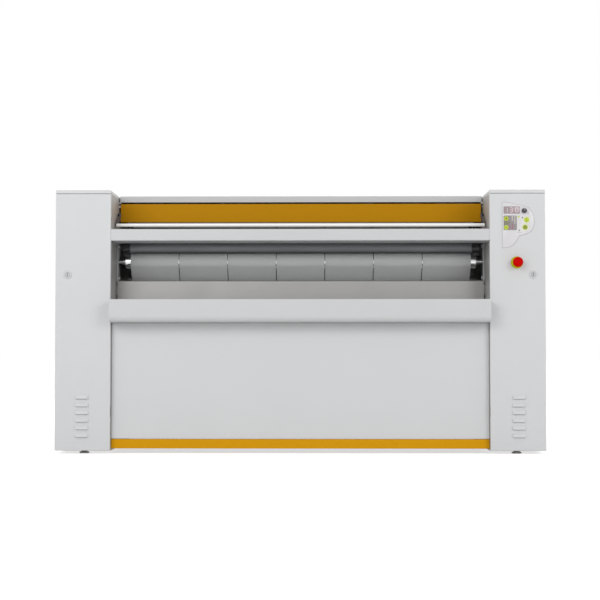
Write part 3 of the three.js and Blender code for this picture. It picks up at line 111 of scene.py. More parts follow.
floor_mesh = bpy.data.meshes.new("floor")
bm = bmesh.new()
bmesh.ops.create_circle(bm, cap_ends=True, segments=96, radius=60)
bm.to_mesh(floor_mesh)
bm.free()
floor = bpy.data.objects.new("floor", floor_mesh)
scene.collection.objects.link(floor)
floor_paint, tree, shader = blank_material("floor_paint")
feed(shader, {"Base Color": (0.8, 0.8, 0.8, 1), "Roughness": 0.9, "Specular IOR Level": 0,
              "Emission Color": (1, 1, 1, 1),
              "Emission Strength": spread(tree, seen_directly(tree), 0, 0.62)})
floor_mesh.materials.append(floor_paint)


def soft_lamp(name, place, aim, width, height, power):
    lamp = bpy.data.lights.new(name, "AREA")
    lamp.shape = "RECTANGLE"
    lamp.size, lamp.size_y, lamp.energy = width, height, power
    shown = bpy.data.objects.new(name, lamp)
    shown.location = place
    shown.rotation_euler = (Vector(aim) - Vector(place)).to_track_quat("-Z", "Y").to_euler()
    scene.collection.objects.link(shown)


soft_lamp("key_lamp", (-2.6, -4.9, 2.5), (0, 0, 0.5), 3.2, 2.4, 99)
soft_lamp("fill_lamp", (3.2, -4.6, 2.1), (0, 0, 0.6), 2.6, 2.2, 68)
soft_lamp("rear_lamp", (0.5, 4.6, 3.6), (0, 0, 0.6), 3.0, 2.0, 110)

# -------- cabinet shells
# Two upright cabinets of 2 mm steel sheet, powder coated light grey: a side-and-back shell
# and a folded lid each. The coat has a fine orange peel, and a painted highlight on its bends.
SIDES = ("left", "right")
SHEET = 0.002


def linear(colour):
    """A colour written in 0 to 255 as a screen shows it, in the shader's linear values."""
    parts = [c / 255 for c in colour]
    return tuple(c / 12.92 if c <= 0.04045 else ((c + 0.055) / 1.055) ** 2.4 for c in parts)


def shader_group(name, inputs, outputs):
    """An empty node group: its tree, and the nodes that hold its inputs and outputs."""
    tree = bpy.data.node_groups.new(name, "ShaderNodeTree")
    for label, value in inputs.items():
        kind = "NodeSocketVector" if hasattr(value, "__len__") else "NodeSocketFloat"
        tree.interface.new_socket(label, in_out="INPUT", socket_type=kind).default_value = value
    for label in outputs:
        tree.interface.new_socket(label, in_out="OUTPUT", socket_type="NodeSocketFloat")
    return tree, tree.nodes.new("NodeGroupInput").outputs, tree.nodes.new("NodeGroupOutput")


def use_group(tree, group, **values):
    """A node group placed in a tree: its outputs."""
    placed = tree.nodes.new("ShaderNodeGroup")
    placed.node_tree = group
    feed(placed, values)
    return placed.outputs


def around(tree, value, middle, swing):
    """A 0 to 1 value turned into one that swings about a middle."""
    return spread(tree, value, middle - swing, middle + swing)


def scaled(tree, vector, level):
    return node(tree, "VectorMath", {0: vector, "Scale": level}, operation="SCALE").outputs[0]


def noise(tree, place, scale, detail):
    return node(tree, "TexNoise", {"Vector": place, "Scale": scale, "Detail": detail}).outputs["Fac"]


def surface(name, group, colour, tone, roughness, haze, depth, strength, others, fold_highlight=0, **given):
    """A material of one colour, whose tone, gloss and bump come from a node group."""
    material, tree, shader = blank_material(name)
    out = use_group(tree, group, **given)
    level = around(tree, out["Tone"], 1, tone)
    # The bends get a lighter colour: a painted highlight.
    if fold_highlight:
        level = maths(tree, "MULTIPLY_ADD", out["FoldHighlight"], fold_highlight, level)
    bump = node(tree, "Bump", {"Height": out["Height"], "Distance": depth, "Strength": strength})
    feed(shader, {"Base Color": scaled(tree, linear(colour), level), "Normal": bump.outputs[0],
                  "Roughness": around(tree, out["Gloss"], roughness, haze), **others})
    return material


# Powder coat: orange peel, cloudy tone and gloss, and a mask on the bends for a painted highlight.
powder_coat, given, result = shader_group(
    "powder_coat", {"Peel": 420.0, "Cloud": 3.0}, ["Height", "Tone", "Gloss", "FoldHighlight"])
where = node(powder_coat, "TexCoord").outputs["Object"]
smudge = noise(powder_coat, where, 22, 4)
fold = node(powder_coat, "Attribute", attribute_name="fold").outputs["Fac"]
feed(result, {"Height": noise(powder_coat, where, given["Peel"], 2),
              "Tone": noise(powder_coat, where, given["Cloud"], 3),
              "Gloss": smudge, "FoldHighlight": maths(powder_coat, "MULTIPLY", fold, smudge)})


def painted(name, colour, roughness, cloud=0.02, peel_depth=0.00006, shine=0.4):
    """Powder coat or enamel, a little lighter on its bends: a painted highlight."""
    return surface(name, powder_coat, colour, cloud, roughness, 0.06, peel_depth, 0.5,
                   {"Specular IOR Level": shine}, fold_highlight=0.08)


def made_piece(name, bm, body, materials, replaces=None, smooth=40):
    """A finished mesh becomes a piece: smooth where its faces meet softly, riding on its body."""
    mesh = bpy.data.meshes.new(name)
    bm.to_mesh(mesh)
    bm.free()
    for face in mesh.polygons:
        face.use_smooth = True
    mesh.set_sharp_from_angle(angle=radians(smooth))
    for material in (materials if isinstance(materials, list) else [materials]):
        mesh.materials.append(material)
    piece = bpy.data.objects.new(name, mesh)
    scene.collection.objects.link(piece)
    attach(piece, body)
    if replaces:
        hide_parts(replaces)
    return piece


def level_normals(piece):
    """Large flat faces keep their own normals, and only the narrow folds between them shade."""
    weighted = piece.modifiers.new("level_normals", "WEIGHTED_NORMAL")
    weighted.keep_sharp = True
    weighted.weight = 90


def soft_edges(piece, width, angle=60):
    """Edges that are sharper than an angle are rounded by a width."""
    soft = piece.modifiers.new("soft_edges", "BEVEL")
    soft.width, soft.segments, soft.limit_method, soft.angle_limit = width, 2, "ANGLE", radians(angle)


def bend(bm, chosen, radius, segments, clamp=False):
    """Rounds chosen edges between two faces, and marks the new faces for the coat's painted highlight."""
    mark = bm.faces.layers.float.new("fold")
    edges = [e for e in bm.edges if len(e.link_faces) == 2 and chosen(e)]
    if edges:
        rounded = bmesh.ops.bevel(bm, geom=edges, offset=radius, affect="EDGES", segments=segments,
                                  profile=0.5, material=-1, clamp_overlap=clamp)
        for face in rounded["faces"]:
            face[mark] = 1.0


def eased(name, radius, shortest, segments=3, chosen=lambda edge: True):
    """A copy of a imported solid, joined up, with its long sharp edges rounded."""
    bm = bmesh.new()
    bm.from_mesh(frame["nodes"][name].data)
    bmesh.ops.remove_doubles(bm, verts=bm.verts, dist=2e-6)
    bmesh.ops.dissolve_limit(bm, angle_limit=radians(0.6), verts=bm.verts, edges=bm.edges)
    bend(bm, lambda e: e.calc_length() > shortest and e.calc_face_angle() > radians(50) and chosen(e),
         radius, segments, True)
    return bm


cabinet_paint = painted("cabinet_paint", (207, 208, 209), 0.42)
for side in SIDES:
    name = f"{side}_outer_panel"
    level_normals(made_piece(f"{side}_shell", eased(name, 0.0015, 0.1), "chassis", cabinet_paint,
                             name))


def box_mesh(low, high):
    bm = bmesh.new()
    bmesh.ops.create_cube(bm, size=1)
    bmesh.ops.scale(bm, vec=[h - l for l, h in zip(low, high)], verts=bm.verts)
    bmesh.ops.translate(bm, vec=[(l + h) / 2 for l, h in zip(low, high)], verts=bm.verts)
    return bm


def folded_pan(name, node_name, open_towards, radius, material, wider=0.0):
    """Sheet folded up on four sides: a box with one face left open, given its thickness inwards."""
    low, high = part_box(node_name)
    bm = box_mesh((low.x - wider, low.y, low.z), (high.x + wider, high.y, high.z))
    opened = [f for f in bm.faces if f.normal.dot(Vector(open_towards)) > 0.9]
    bmesh.ops.delete(bm, geom=opened, context="FACES_ONLY")
    bend(bm, lambda e: True, radius, 4)
    piece = made_piece(name, bm, "chassis", material, node_name)
    wall = piece.modifiers.new("wall", "SOLIDIFY")
    wall.thickness, wall.offset, wall.use_even_offset = SHEET, -1, True
    soft_edges(piece, 0.0004)
    level_normals(piece)


for side in SIDES:
    folded_pan(f"{side}_lid", f"{side}_top_cover", (0, 0, -1), 0.003, cabinet_paint)

# -------- cabinet doors
# Folded steel doors on lift-off hinges, with six pressed louvres low down and a raised
# rim for the lock. Same sheet and coat as the shells.
LOUVRE_DEPTH = 0.006
for side in SIDES:
    name = f"{side}_door"
    face_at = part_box(name)[0].y + LOUVRE_DEPTH
    skin = eased(name, 0.0025, 0.1, 4, lambda e: all(abs(v.co.y - face_at) < 1e-4 for v in e.verts))
    level_normals(made_piece(f"{side}_door_skin", skin, name, cabinet_paint, name, smooth=45))

# -------- side frames
# The walls between cabinets and rollers, in brushed stainless sheet, which carry every
# bearing. Grain runs up and down; each bearing is bolted on from the cabinet side.
# Brushed or turned metal has fine lines, stretched along the way the tool went.
metal_grain, given, result = shader_group(
    "metal_grain", {"Stretch": (700.0, 700.0, 3.0)}, ["Height", "Tone", "Gloss"])
where = node(metal_grain, "TexCoord").outputs["Object"]
drawn = node(metal_grain, "VectorMath", {0: where, 1: given["Stretch"]}, operation="MULTIPLY")
lines = noise(metal_grain, drawn.outputs[0], 1, 3)
feed(result, {"Height": lines, "Tone": lines, "Gloss": noise(metal_grain, where, 7, 4)})


def metal(name, colour, roughness, stretch, tone=0.05, depth=0.00003, bare=1.0):
    """Metal with a grain, bare or under a thin dull film."""
    return surface(name, metal_grain, colour, tone, roughness, 0.08, depth, 0.4, {"Metallic": bare},
                   Stretch=stretch)


brushed_upright = metal("brushed_upright", (178, 176, 173), 0.5, (600.0, 600.0, 3.0), bare=0.35)
for side in SIDES:
    name = f"{side}_side_frame"
    level_normals(made_piece(f"{side}_wall", eased(name, 0.0004, 0.02), "chassis",
                             brushed_upright, name))

# -------- feet
# Levelling feet: a rubber pad moulded round the head of a threaded stud, which screws into
# the base of a side frame.
MM = 1000  # in a metre


def middle_of(name):
    low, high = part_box(name)
    return (low + high) / 2


def turned(profile, axis, centre, steps):
    """A closed turned form: (along, radius) pairs, in mm from a centre, spun round an axis."""
    along = Vector([axis == letter for letter in "XYZ"])
    out = Vector((0, 1, 0) if axis == "Z" else (0, 0, 1))
    bm = bmesh.new()
    centre = Vector(centre)
    ring = [bm.verts.new(centre + (along * a + out * r) / MM) for a, r in profile]
    edges = [bm.edges.new(pair) for pair in zip(ring, ring[1:])]
    bmesh.ops.spin(bm, geom=ring + edges, cent=centre, axis=along, angle=2 * pi, steps=steps,
                   use_merge=True)
    bmesh.ops.remove_doubles(bm, verts=bm.verts, dist=1e-6)
    bmesh.ops.recalc_face_normals(bm, faces=bm.faces)
    return bm


def moulded(name, colour, roughness, grain=900.0, depth=0.00004, tone=0.05, shine=0.5):
    """Plastic or rubber with a fine moulded grain."""
    return surface(name, powder_coat, colour, tone, roughness, 0.05, depth, 0.4,
                   {"Specular IOR Level": shine}, Peel=grain, Cloud=30)


# The pads are pale grey, lighter than plain rubber: painted light that lifts their shade under the
# cabinets.
foot_rubber = moulded("foot_rubber", (186, 186, 185), 0.75)
for name in [f"{side}_foot_{end}" for side in SIDES for end in ("front", "rear")]:
    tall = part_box(name)[1].z * MM
    pad = [(0, 0), (0, 18.5), (1, 19.8), (5, 19), (7.5, 12.5), (9, 11), (11.7, 11), (11.7, 6), (tall, 6),
           (tall, 0)]
    made_piece(f"{name}_pad", turned(pad, "Z", (*middle_of(name).xy, 0), 40), "chassis",
               foot_rubber, name)

# -------- front, kick and rear panels
# Folded panels that close the opening below the tray and at the back: the front one light
# grey, the kick strip ochre, the rear one plain galvanised sheet with vent slots.
folded_pan("front_skin", "front_panel", (0, 1, 0), 0.002, cabinet_paint, 0.003)
ochre_paint = painted("ochre_paint", (211, 151, 5), 0.55, shine=0.1)
folded_pan("kick_skin", "kick_strip", (0, 1, 0), 0.0018, ochre_paint, 0.003)

# Galvanised sheet: crystals of zinc that each catch the light a little differently.
zinc_crystals, given, result = shader_group("zinc_crystals", {"Size": 90.0}, ["Height", "Tone", "Gloss"])
where = node(zinc_crystals, "TexCoord").outputs["Object"]
wander = node(zinc_crystals, "TexNoise", {"Vector": where, "Scale": 45, "Detail": 2}).outputs["Color"]
moved = node(zinc_crystals, "VectorMath", {0: wander, 1: (0.02, 0.02, 0.02), 2: where},
             operation="MULTIPLY_ADD")
cells = node(zinc_crystals, "TexVoronoi", {"Vector": moved.outputs[0], "Scale": given["Size"]}).outputs
grey = node(zinc_crystals, "SeparateColor", {"Color": cells["Color"]}).outputs["Red"]
feed(result, {"Height": cells["Distance"], "Tone": grey, "Gloss": grey})


def galvanised(name, colour, roughness, size=90.0):
    return surface(name, zinc_crystals, colour, 0.09, roughness, 0.09, 0.0001, 0.15, {"Metallic": 0.8},
                   Size=size)


def joined(*parts):
    """Several meshes as one."""
    whole = bmesh.new()
    for part in parts:
        held = bpy.data.meshes.new("held")
        part.to_mesh(held)
        part.free()
        whole.from_mesh(held)
        bpy.data.meshes.remove(held)
    return whole


zinc_sheet = galvanised("zinc_sheet", (176, 180, 182), 0.42)
level_normals(made_piece("rear_skin", eased("rear_panel", 0.002, 0.3), "chassis", zinc_sheet,
                         "rear_panel"))
low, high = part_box("rear_panel")
SCREW_INSET = 0.012
columns = [low.x + SCREW_INSET + k * (high.x - low.x - 2 * SCREW_INSET) / 8 for k in range(9)]
rows = [low.z + SCREW_INSET + k * (high.z - low.z - 2 * SCREW_INSET) / 5 for k in range(6)]
screw_places = [(x, high.y, z) for x in columns for z in rows
                if x in (columns[0], columns[-1]) or z in (rows[0], rows[-1])]
pan_head = [(0, 0), (0, 4.8), (0.9, 5), (1.8, 4.2), (2.3, 2.6), (1.7, 1.9), (1.7, 0)]
screw_zinc = galvanised("screw_zinc", (190, 192, 193), 0.35, 300.0)
made_piece("rear_screws", joined(*[turned(pan_head, "Y", place, 18) for place in screw_places]), "chassis",
           screw_zinc, smooth=35)
level_normals(made_piece("tie_beam_tube", eased("tie_beam", 0.004, 0.3, 4), "chassis", zinc_sheet,
                         "tie_beam"))

# -------- feed table
# One long folded sheet: a flat table with an upturned rear edge, a rounded nose, a fascia
# flush with the cabinets and a return underneath.
FRONT = -0.285
TABLE_REACH = 0.7466


def round_corner(bm, corner, radius, segments):
    bmesh.ops.bevel(bm, geom=[corner], offset=radius, affect="VERTICES", segments=segments, profile=0.5,
                    material=-1)


def pull_out(bm, extruded, way):
    """What an extrude operator has made is moved out to its place."""
    bmesh.ops.translate(bm, vec=way,
                        verts=[v for v in extruded["geom"] if isinstance(v, bmesh.types.BMVert)])


def thickened(bm, thickness):
    bmesh.ops.recalc_face_normals(bm, faces=bm.faces)
    bmesh.ops.solidify(bm, geom=bm.faces[:], thickness=thickness)
    bmesh.ops.recalc_face_normals(bm, faces=bm.faces)
    return bm


def folded_run(corners, x0, x1, rounding, steps=5):
    """Sheet bent along X: a line of corners, (depth, height) in mm, is rounded and pulled out."""
    bm = bmesh.new()
    line = [bm.verts.new((x0, FRONT + d / MM, z / MM)) for d, z in corners]
    for pair in zip(line, line[1:]):
        bm.edges.new(pair)
    for corner, radius in zip(line[1:-1], rounding):
        round_corner(bm, corner, radius, steps)
    pull_out(bm, bmesh.ops.extrude_edge_only(bm, edges=bm.edges[:]), (x1 - x0, 0, 0))
    return thickened(bm, SHEET)


table_corners = [(255.6, 902), (207.6, 886), (0, 886), (0, 839), (130, 839), (130, 849)]
table_paint = painted("table_paint", (200, 201, 202), 0.38)
table = folded_run(table_corners, -TABLE_REACH, TABLE_REACH, (0.02, 0.006, 0.004, 0.003))
level_normals(made_piece("table_sheet", table, "chassis", table_paint, "feed_table"))

# -------- finger guard
# A white flattened tube across the feed, on two cranked arms whose dark paint is painted shade
# in the gaps by the walls. It lifts on pins in the walls, and its ends are closed with pressed caps.
BAR_DEPTH = 0.0262
BAR_HEIGHT = 0.0127
guard_paint = painted("guard_paint", (253, 253, 251), 0.4)
arm_dark_as_painted_shade = painted("arm_dark_as_painted_shade", (72, 77, 86), 0.45)
bm = eased("finger_guard", 0.0006, 0.004, 2)
low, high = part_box("finger_guard")
# Faces behind or above the bar take the dark arm paint: painted shade.
for face in bm.faces:
    middle = face.calc_center_median()
    face.material_index = int(middle.y > low.y + BAR_DEPTH or middle.z > low.z + BAR_HEIGHT)
level_normals(made_piece("guard_bar", bm, "finger_guard", [guard_paint, arm_dark_as_painted_shade],
                         "finger_guard", smooth=35))

# -------- hood
# An ochre apron over the feed roller under a light grey cover, both full width. Each is folded
# from 2 mm steel sheet, powder coated, and rests on the side frames.
low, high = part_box("hood_front")
# The apron's ochre is darker than the kick strip's: painted shade from the cover above it.
apron_ochre_in_painted_shade = painted("apron_ochre_in_painted_shade", (182, 128, 4), 0.55, shine=0.08)
apron = folded_run([(263, 1008), (223, 1008), (223, 932.5), (235, 932.5)], low.x, high.x, (0.003, 0.004))
level_normals(made_piece("hood_apron", apron, "chassis", apron_ochre_in_painted_shade, "hood_front"))
# The cover's grey is darker than the cabinets' paint: painted shade on its front edge.
cover_grey_in_painted_shade = painted("cover_grey_in_painted_shade", (191, 191, 192), 0.45)
folded_pan("hood_cover", "top_cover", (0, 0, -1), 0.003, cover_grey_in_painted_shade)

# -------- collecting tray
# A trough of folded sheet under the outlet: a tall front lip that rolls under into a flat
# floor, a low rear upstand, and two end plates welded inside.
LIP_TOP = 606
TRAY_FLOOR = 516
TRAY_BACK = 158
low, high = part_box("collection_tray")
trough = folded_run([(-62, LIP_TOP), (-70, LIP_TOP), (-70, TRAY_FLOOR), (TRAY_BACK, TRAY_FLOOR),
                     (TRAY_BACK, 530)], low.x, high.x, (0.003, 0.024, 0.002), 10)
level_normals(made_piece("tray_trough", trough, "chassis", table_paint, "collection_tray"))
for side, x in (("left", low.x + 0.001), ("right", high.x - 0.001)):
    end = bmesh.new()
    outline = [(-69, 604.5), (-69, TRAY_FLOOR + 1), (TRAY_BACK - 1, TRAY_FLOOR + 1), (TRAY_BACK - 1, 529),
               (4, 529), (0, 604.5)]
    corners = [end.verts.new((x, FRONT + d / MM, z / MM)) for d, z in outline]
    end.faces.new(corners)
    round_corner(end, corners[1], 0.023, 8)
    round_corner(end, corners[4], 0.03, 8)
    made_piece(f"{side}_tray_end", thickened(end, 0.001), "chassis", table_paint)

# -------- chute plate
# Brushed stainless plate that leans from the exit roller down to the tray, grain along it.
# Its top edge is bent back, so that linen slides over it.
# Its steel is darker than the walls': painted shade from the table above it.
chute_steel_in_painted_shade = metal("chute_steel_in_painted_shade", (148, 147, 146), 0.5, (3.0, 600.0, 600.0), bare=0.7)
low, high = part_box("chute_plate")
chute = folded_run([(164, 687), (154, 690), (150, 687), (134, 518.3)], low.x, high.x, (0.003, 0.003))
level_normals(made_piece("chute_sheet", chute, "chassis", chute_steel_in_painted_shade, "chute_plate"))

# -------- heated cylinder
# A ground and polished steel drum on two hollow journals, with fine turning lines round it.
# Six heating rods stand still inside it, on a fixed pipe.
# The drum's steel is darker than polished steel: painted shade for the dim space behind the belts.
drum_steel_in_painted_shade = metal("drum_steel_in_painted_shade", (120, 121, 123), 0.42, (900.0, 3.0, 3.0), depth=0.00001)
CYLINDER_AXIS = Vector((0.095, 0.835))
drum = [(-828, 24.5), (-828, 34), (-827, 35), (-706, 35), (-706, 60), (-702, 64), (-702, 108), (-706, 112),
        (-706, 123.5), (-704.5, 125), (704.5, 125), (706, 123.5), (706, 112), (702, 108), (702, 64),
        (706, 60), (706, 35), (799, 35), (800, 34), (800, 24.5), (698, 24.5), (698, 117), (-698, 117),
        (-698, 24.5), (-828, 24.5)]
made_piece("drum", turned(drum, "X", (0, *CYLINDER_AXIS), 160), "heated_cylinder",
           drum_steel_in_painted_shade, "heated_cylinder", smooth=30)
heater_steel = metal("heater_steel", (92, 88, 84), 0.5, (40.0, 300.0, 300.0), tone=0.12)
made_piece("heater_rods", eased("heating_elements", 0.0005, 0.02, 1), "chassis",
           heater_steel, "heating_elements")

# -------- rollers
# Five polished steel rollers that carry the belts: closed tubes with dished ends on stub shafts,
# which turn in bearings on the side frames.
polished_roller = metal("polished_roller", (205, 206, 207), 0.12, (900.0, 3.0, 3.0), depth=0.000008)
half = [(765, 0), (765, 7), (764, 8), (726, 8), (726, 12), (719, 12.5), (719, 8.5), (713.5, 8.5), (711, 22),
        (713, 24), (713, 28.5), (711.5, 30)]
roller = [(-a, r) for a, r in half] + half[::-1]
for name in ("feed_roller", "exit_roller", "tension_roller", "rear_lower_roller", "rear_upper_roller"):
    made_piece(name[:-2], turned(roller, "X", (0, *middle_of(name).yz), 72), name,
               polished_roller, name, smooth=30)


# -------- shaft guides
# Slotted steel guides round the exit roller's shaft, each held on its wall by two bolts. The
# shaft is set in the slot to draw the belts tight.
def paired(loop):
    """Each item of a loop with the next one."""
    return zip(loop, loop[1:] + loop[:1])


def plate(loops, at, pull):
    """A flat plate: an outline and its holes, placed by a rule and pulled to their thickness."""
    bm = bmesh.new()
    for loop in loops:
        for pair in paired([bm.verts.new(at(u, v)) for u, v in loop]):
            bm.edges.new(pair)
    bmesh.ops.triangle_fill(bm, use_beauty=True, edges=bm.edges[:])
    pull_out(bm, bmesh.ops.extrude_face_region(bm, geom=bm.faces[:]), pull)
    bmesh.ops.recalc_face_normals(bm, faces=bm.faces)
    return bm


def oblong(u0, u1, v0, v1):
    """A rectangle, as a closed line."""
    return [(u0, v0), (u1, v0), (u1, v1), (u0, v1)]


def polar(u, v, radius, angle):
    return u + radius * cos(angle), v + radius * sin(angle)


def bolt(centre, way, radius, height):
    """A hexagon head with a chamfered crown, in mm, that points along X by a way of 1 or -1."""
    top = height * way
    profile = [(0, 0), (0, radius), (top * 0.75, radius), (top, radius * 0.82), (top, 0)]
    return turned(profile, "X", centre, 6)


GUIDE_HALF, GUIDE_THICK = 0.02, 0.004
GUIDE_END = 0.014
SLOT_HALF, SLOT_RUN = 0.0095, 0.04
BOLT_SEAT = 0.0038
WALL_FACE = 0.7468
y, z = middle_of("exit_roller").yz
bolts_at = (z + 0.061, z - 0.067)
outline = oblong(y - GUIDE_HALF, y + GUIDE_HALF, bolts_at[1] - GUIDE_END, bolts_at[0] + GUIDE_END)
slot_hole = [polar(y, z + (SLOT_RUN if sin(a) > 0 else 0), SLOT_HALF, a)
             for a in (pi * k / 12 for k in range(24))]
guide_steel = metal("guide_steel", (168, 169, 172), 0.5, (500.0, 500.0, 4.0), bare=0.3)
for side, way in (("left", -1), ("right", 1)):
    guide = plate([outline, slot_hole], lambda u, v: (way * WALL_FACE, u, v),
                  (-way * GUIDE_THICK, 0, 0))
    heads = [bolt((way * (WALL_FACE - BOLT_SEAT), y, at), -way, 6.8, 5.2) for at in bolts_at]
    made_piece(f"{side}_shaft_guide", joined(guide, *heads), "chassis", guide_steel, smooth=30)

# -------- ironing belts
# Seven endless belts of needled polyamide felt with a woven face, 3 mm thick. Each runs from the
# feed roller under the hot cylinder, round the exit and tension rollers and back over the top.
BELT_WIDTH = 0.195
BELT_PITCH = 0.198
BELT_THICK = 0.003
BELT_GAP = 0.0003
ROLLER_RADIUS, CYLINDER_RADIUS = 0.03, 0.125


def run_round(wheels):
    """A closed run round wheels, each (axis, radius, turn): its bend points and the way out from each."""
    touches = []
    for (c0, r0, s0), (c1, r1, s1) in paired(wheels):
        gap = c1 - c0
        lean = s1 * r1 - s0 * r0
        run = sqrt(gap.length_squared - lean * lean)
        way = Vector((run * gap.x + lean * gap.y, run * gap.y - lean * gap.x)) / gap.length_squared
        side = Vector((-way.y, way.x))
        touches.append((c0 - s0 * r0 * side, c1 - s1 * r1 * side))
    points = []
    for i, (centre, radius, turn) in enumerate(wheels):
        landing, leaving = touches[i - 1][1] - centre, touches[i][0] - centre
        start = atan2(landing.y, landing.x)
        swept = turn * ((turn * (atan2(leaving.y, leaving.x) - start)) % (2 * pi))
        steps = max(2, round(abs(swept) / radians(6)))
        for angle in [start + swept * k / steps for k in range(steps + 1)]:
            way = Vector((cos(angle), sin(angle)))
            points.append((centre + way * radius, way * turn))
    return points


belt_wheels = [(middle_of(f"{name}_roller").yz, ROLLER_RADIUS + BELT_GAP, 1)
               for name in ("feed", "exit", "tension", "rear_lower", "rear_upper")]
belt_wheels.insert(1, (CYLINDER_AXIS, CYLINDER_RADIUS + BELT_GAP + BELT_THICK, -1))

# Plain weave over felt: threads pass over and under each other on the belt's own UV map.
belt_weave, given, result = shader_group("belt_weave", {"Threads": 700.0}, ["Height", "Tone", "Fuzz"])
threads = scaled(belt_weave, node(belt_weave, "UVMap", uv_map="run").outputs["UV"], given["Threads"])
checks = node(belt_weave, "TexChecker", {"Vector": threads, "Scale": 1}).outputs["Fac"]
across = node(belt_weave, "SeparateXYZ", {"Vector": threads}).outputs
waves = [maths(belt_weave, "SINE", maths(belt_weave, "MULTIPLY", across[way], pi)) for way in "XY"]
crowns = [maths(belt_weave, "ABSOLUTE", wave) for wave in waves]
weave = node(belt_weave, "Mix", {0: checks, 2: crowns[0], 3: crowns[1]}, data_type="FLOAT")
where = node(belt_weave, "TexCoord").outputs["Object"]
feed(result, {"Height": weave.outputs[0], "Tone": noise(belt_weave, where, 5, 3),
              "Fuzz": noise(belt_weave, where, 260, 5)})

belt_cloth, tree, shader = blank_material("belt_cloth")
cloth = use_group(tree, belt_weave)
level = maths(tree, "MULTIPLY", around(tree, cloth["Tone"], 1, 0.05), around(tree, cloth["Fuzz"], 1, 0.06))
nap = node(tree, "Bump", {"Height": cloth["Fuzz"], "Distance": 0.0004, "Strength": 0.35})
bump = node(tree, "Bump", {"Height": cloth["Height"], "Distance": 0.0003, "Strength": 0.5,
                           "Normal": nap.outputs[0]})
feed(shader, {"Base Color": scaled(tree, linear((195, 197, 196)), level), "Normal": bump.outputs[0],
              "Roughness": 0.95, "Specular IOR Level": 0.15, "Sheen Weight": 0.25})

line = [point for point, out in run_round(belt_wheels)]
for number in range(1, 8):
    middle = (number - 4) * BELT_PITCH
    bm = bmesh.new()
    length = bm.verts.layers.float.new("length")
    uv = bm.loops.layers.uv.new("run")
    ring = [bm.verts.new((middle - BELT_WIDTH / 2, p.x, p.y)) for p in line]
    loop = [bm.edges.new(pair) for pair in paired(ring)]
    run = 0.0
    for vert, after in paired(ring):
        vert[length] = run
        run += (after.co - vert.co).length
    pull_out(bm, bmesh.ops.extrude_edge_only(bm, edges=loop), (BELT_WIDTH, 0, 0))
    for face in bm.faces:
        along = [v[length] for v in face.verts]
        wraps = max(along) - min(along) > run / 2
        for corner in face.loops:
            at = corner.vert[length]
            corner[uv].uv = (at + (run if wraps and at == 0 else 0), corner.vert.co.x)
    bmesh.ops.recalc_face_normals(bm, faces=bm.faces)
    if sum(f.calc_center_median().dot(f.normal) * f.calc_area() for f in bm.faces) < 0:
        bmesh.ops.reverse_faces(bm, faces=bm.faces)
    belt = made_piece(f"belt_{number}", bm, "chassis", belt_cloth, f"ironing_belt_{number}")
    felt = belt.modifiers.new("felt", "SOLIDIFY")
    felt.thickness, felt.offset = BELT_THICK, 1
    soft_edges(belt, 0.0007)

# -------- belt drive
# A ribbed rubber belt in the left cabinet, from the gearmotor's small pulley up to a large one
# on the cylinder's journal. Both are turned steel, with flanges that keep the belt on.
DRIVE_X = -0.805
LARGE_PITCH, SMALL_PITCH = 0.12, 0.06
PITCH_TO_FLOOR = 3.3
WEB_OUTER, WEB_INNER, WEB_THICK = 0.1108, 0.0499, 0.008
HOLE_CIRCLE, HOLE_RADIUS = 0.08035, 0.0188
MOTOR_AXIS = middle_of("motor_pulley").yz


def carried_round(run, section):
    """A band: its section, (x, height) in mm, is carried round a closed run of (point, outward)."""
    bm = bmesh.new()
    rings = [[bm.verts.new((DRIVE_X + x / MM, *(point + out * h / MM))) for x, h in section]
             for point, out in run]
    for ring, after in paired(rings):
        for (a, b), (c, d) in zip(paired(ring), paired(after)):
            bm.faces.new((a, b, d, c))
    bmesh.ops.recalc_face_normals(bm, faces=bm.faces)
    return bm


def wheel_rim(pitch, inner):
    """The profile of a flanged rim, in mm, from the belt's pitch radius and its inner radius."""
    floor = pitch * MM - PITCH_TO_FLOOR
    rise = floor + 9
    return [(-17.5, inner), (-17.5, rise - 1), (-16.8, rise), (-15.7, rise), (-15, floor), (15, floor),
            (15.7, rise), (16.8, rise), (17.5, rise - 1), (17.5, inner), (-17.5, inner)]


def circle(u, v, radius, steps=32):
    return [polar(u, v, radius, 2 * pi * k / steps) for k in range(steps)]


ribs = [(4 * i - 14 + x, h) for i in reversed(range(7)) for x, h in ((3.1, -3), (0.9, -3), (0, -1.2))]
ribbed = [(-14, 2.7), (-13.7, 3), (13.7, 3), (14, 2.7), (14, -1.2)] + ribs
drive_run = run_round([(CYLINDER_AXIS, LARGE_PITCH, 1), (MOTOR_AXIS, SMALL_PITCH, 1)])
belt_rubber = moulded("belt_rubber", (30, 30, 31), 0.7, grain=1500.0, tone=0.1)
made_piece("ribbed_belt", carried_round(drive_run, ribbed), "chassis", belt_rubber, "drive_belt",
           smooth=25)

turned_steel = metal("turned_steel", (128, 129, 131), 0.36, (900.0, 4.0, 4.0), tone=0.08)
y, z = CYLINDER_AXIS
centre = (DRIVE_X, y, z)
holes = [circle(*polar(y, z, HOLE_CIRCLE, 2 * pi * (k + 0.5) / 5), HOLE_RADIUS) for k in range(5)]
web = plate([circle(y, z, WEB_OUTER, 96), circle(y, z, WEB_INNER, 64), *holes],
            lambda u, v: (DRIVE_X - WEB_THICK / 2, u, v), (WEB_THICK, 0, 0))
hub = [(-17.5, 35.3), (-17.5, 49), (-16.5, 50), (16.5, 50), (17.5, 49), (17.5, 35.3), (-17.5, 35.3)]
made_piece("large_pulley", joined(turned(wheel_rim(LARGE_PITCH, 110.7), "X", centre, 128),
                                  turned(hub, "X", centre, 64), web),
           "heated_cylinder", turned_steel, "cylinder_pulley", smooth=30)
centre = (DRIVE_X, *MOTOR_AXIS)
stub = [(-67, 0), (-67, 11.8), (17.3, 11.8), (17.8, 11.3), (17.8, 0)]
made_piece("small_pulley", joined(turned(wheel_rim(SMALL_PITCH, 12), "X", centre, 96),
                                  turned(stub, "X", centre, 40)),
           "motor_pulley", turned_steel, "motor_pulley", smooth=30)

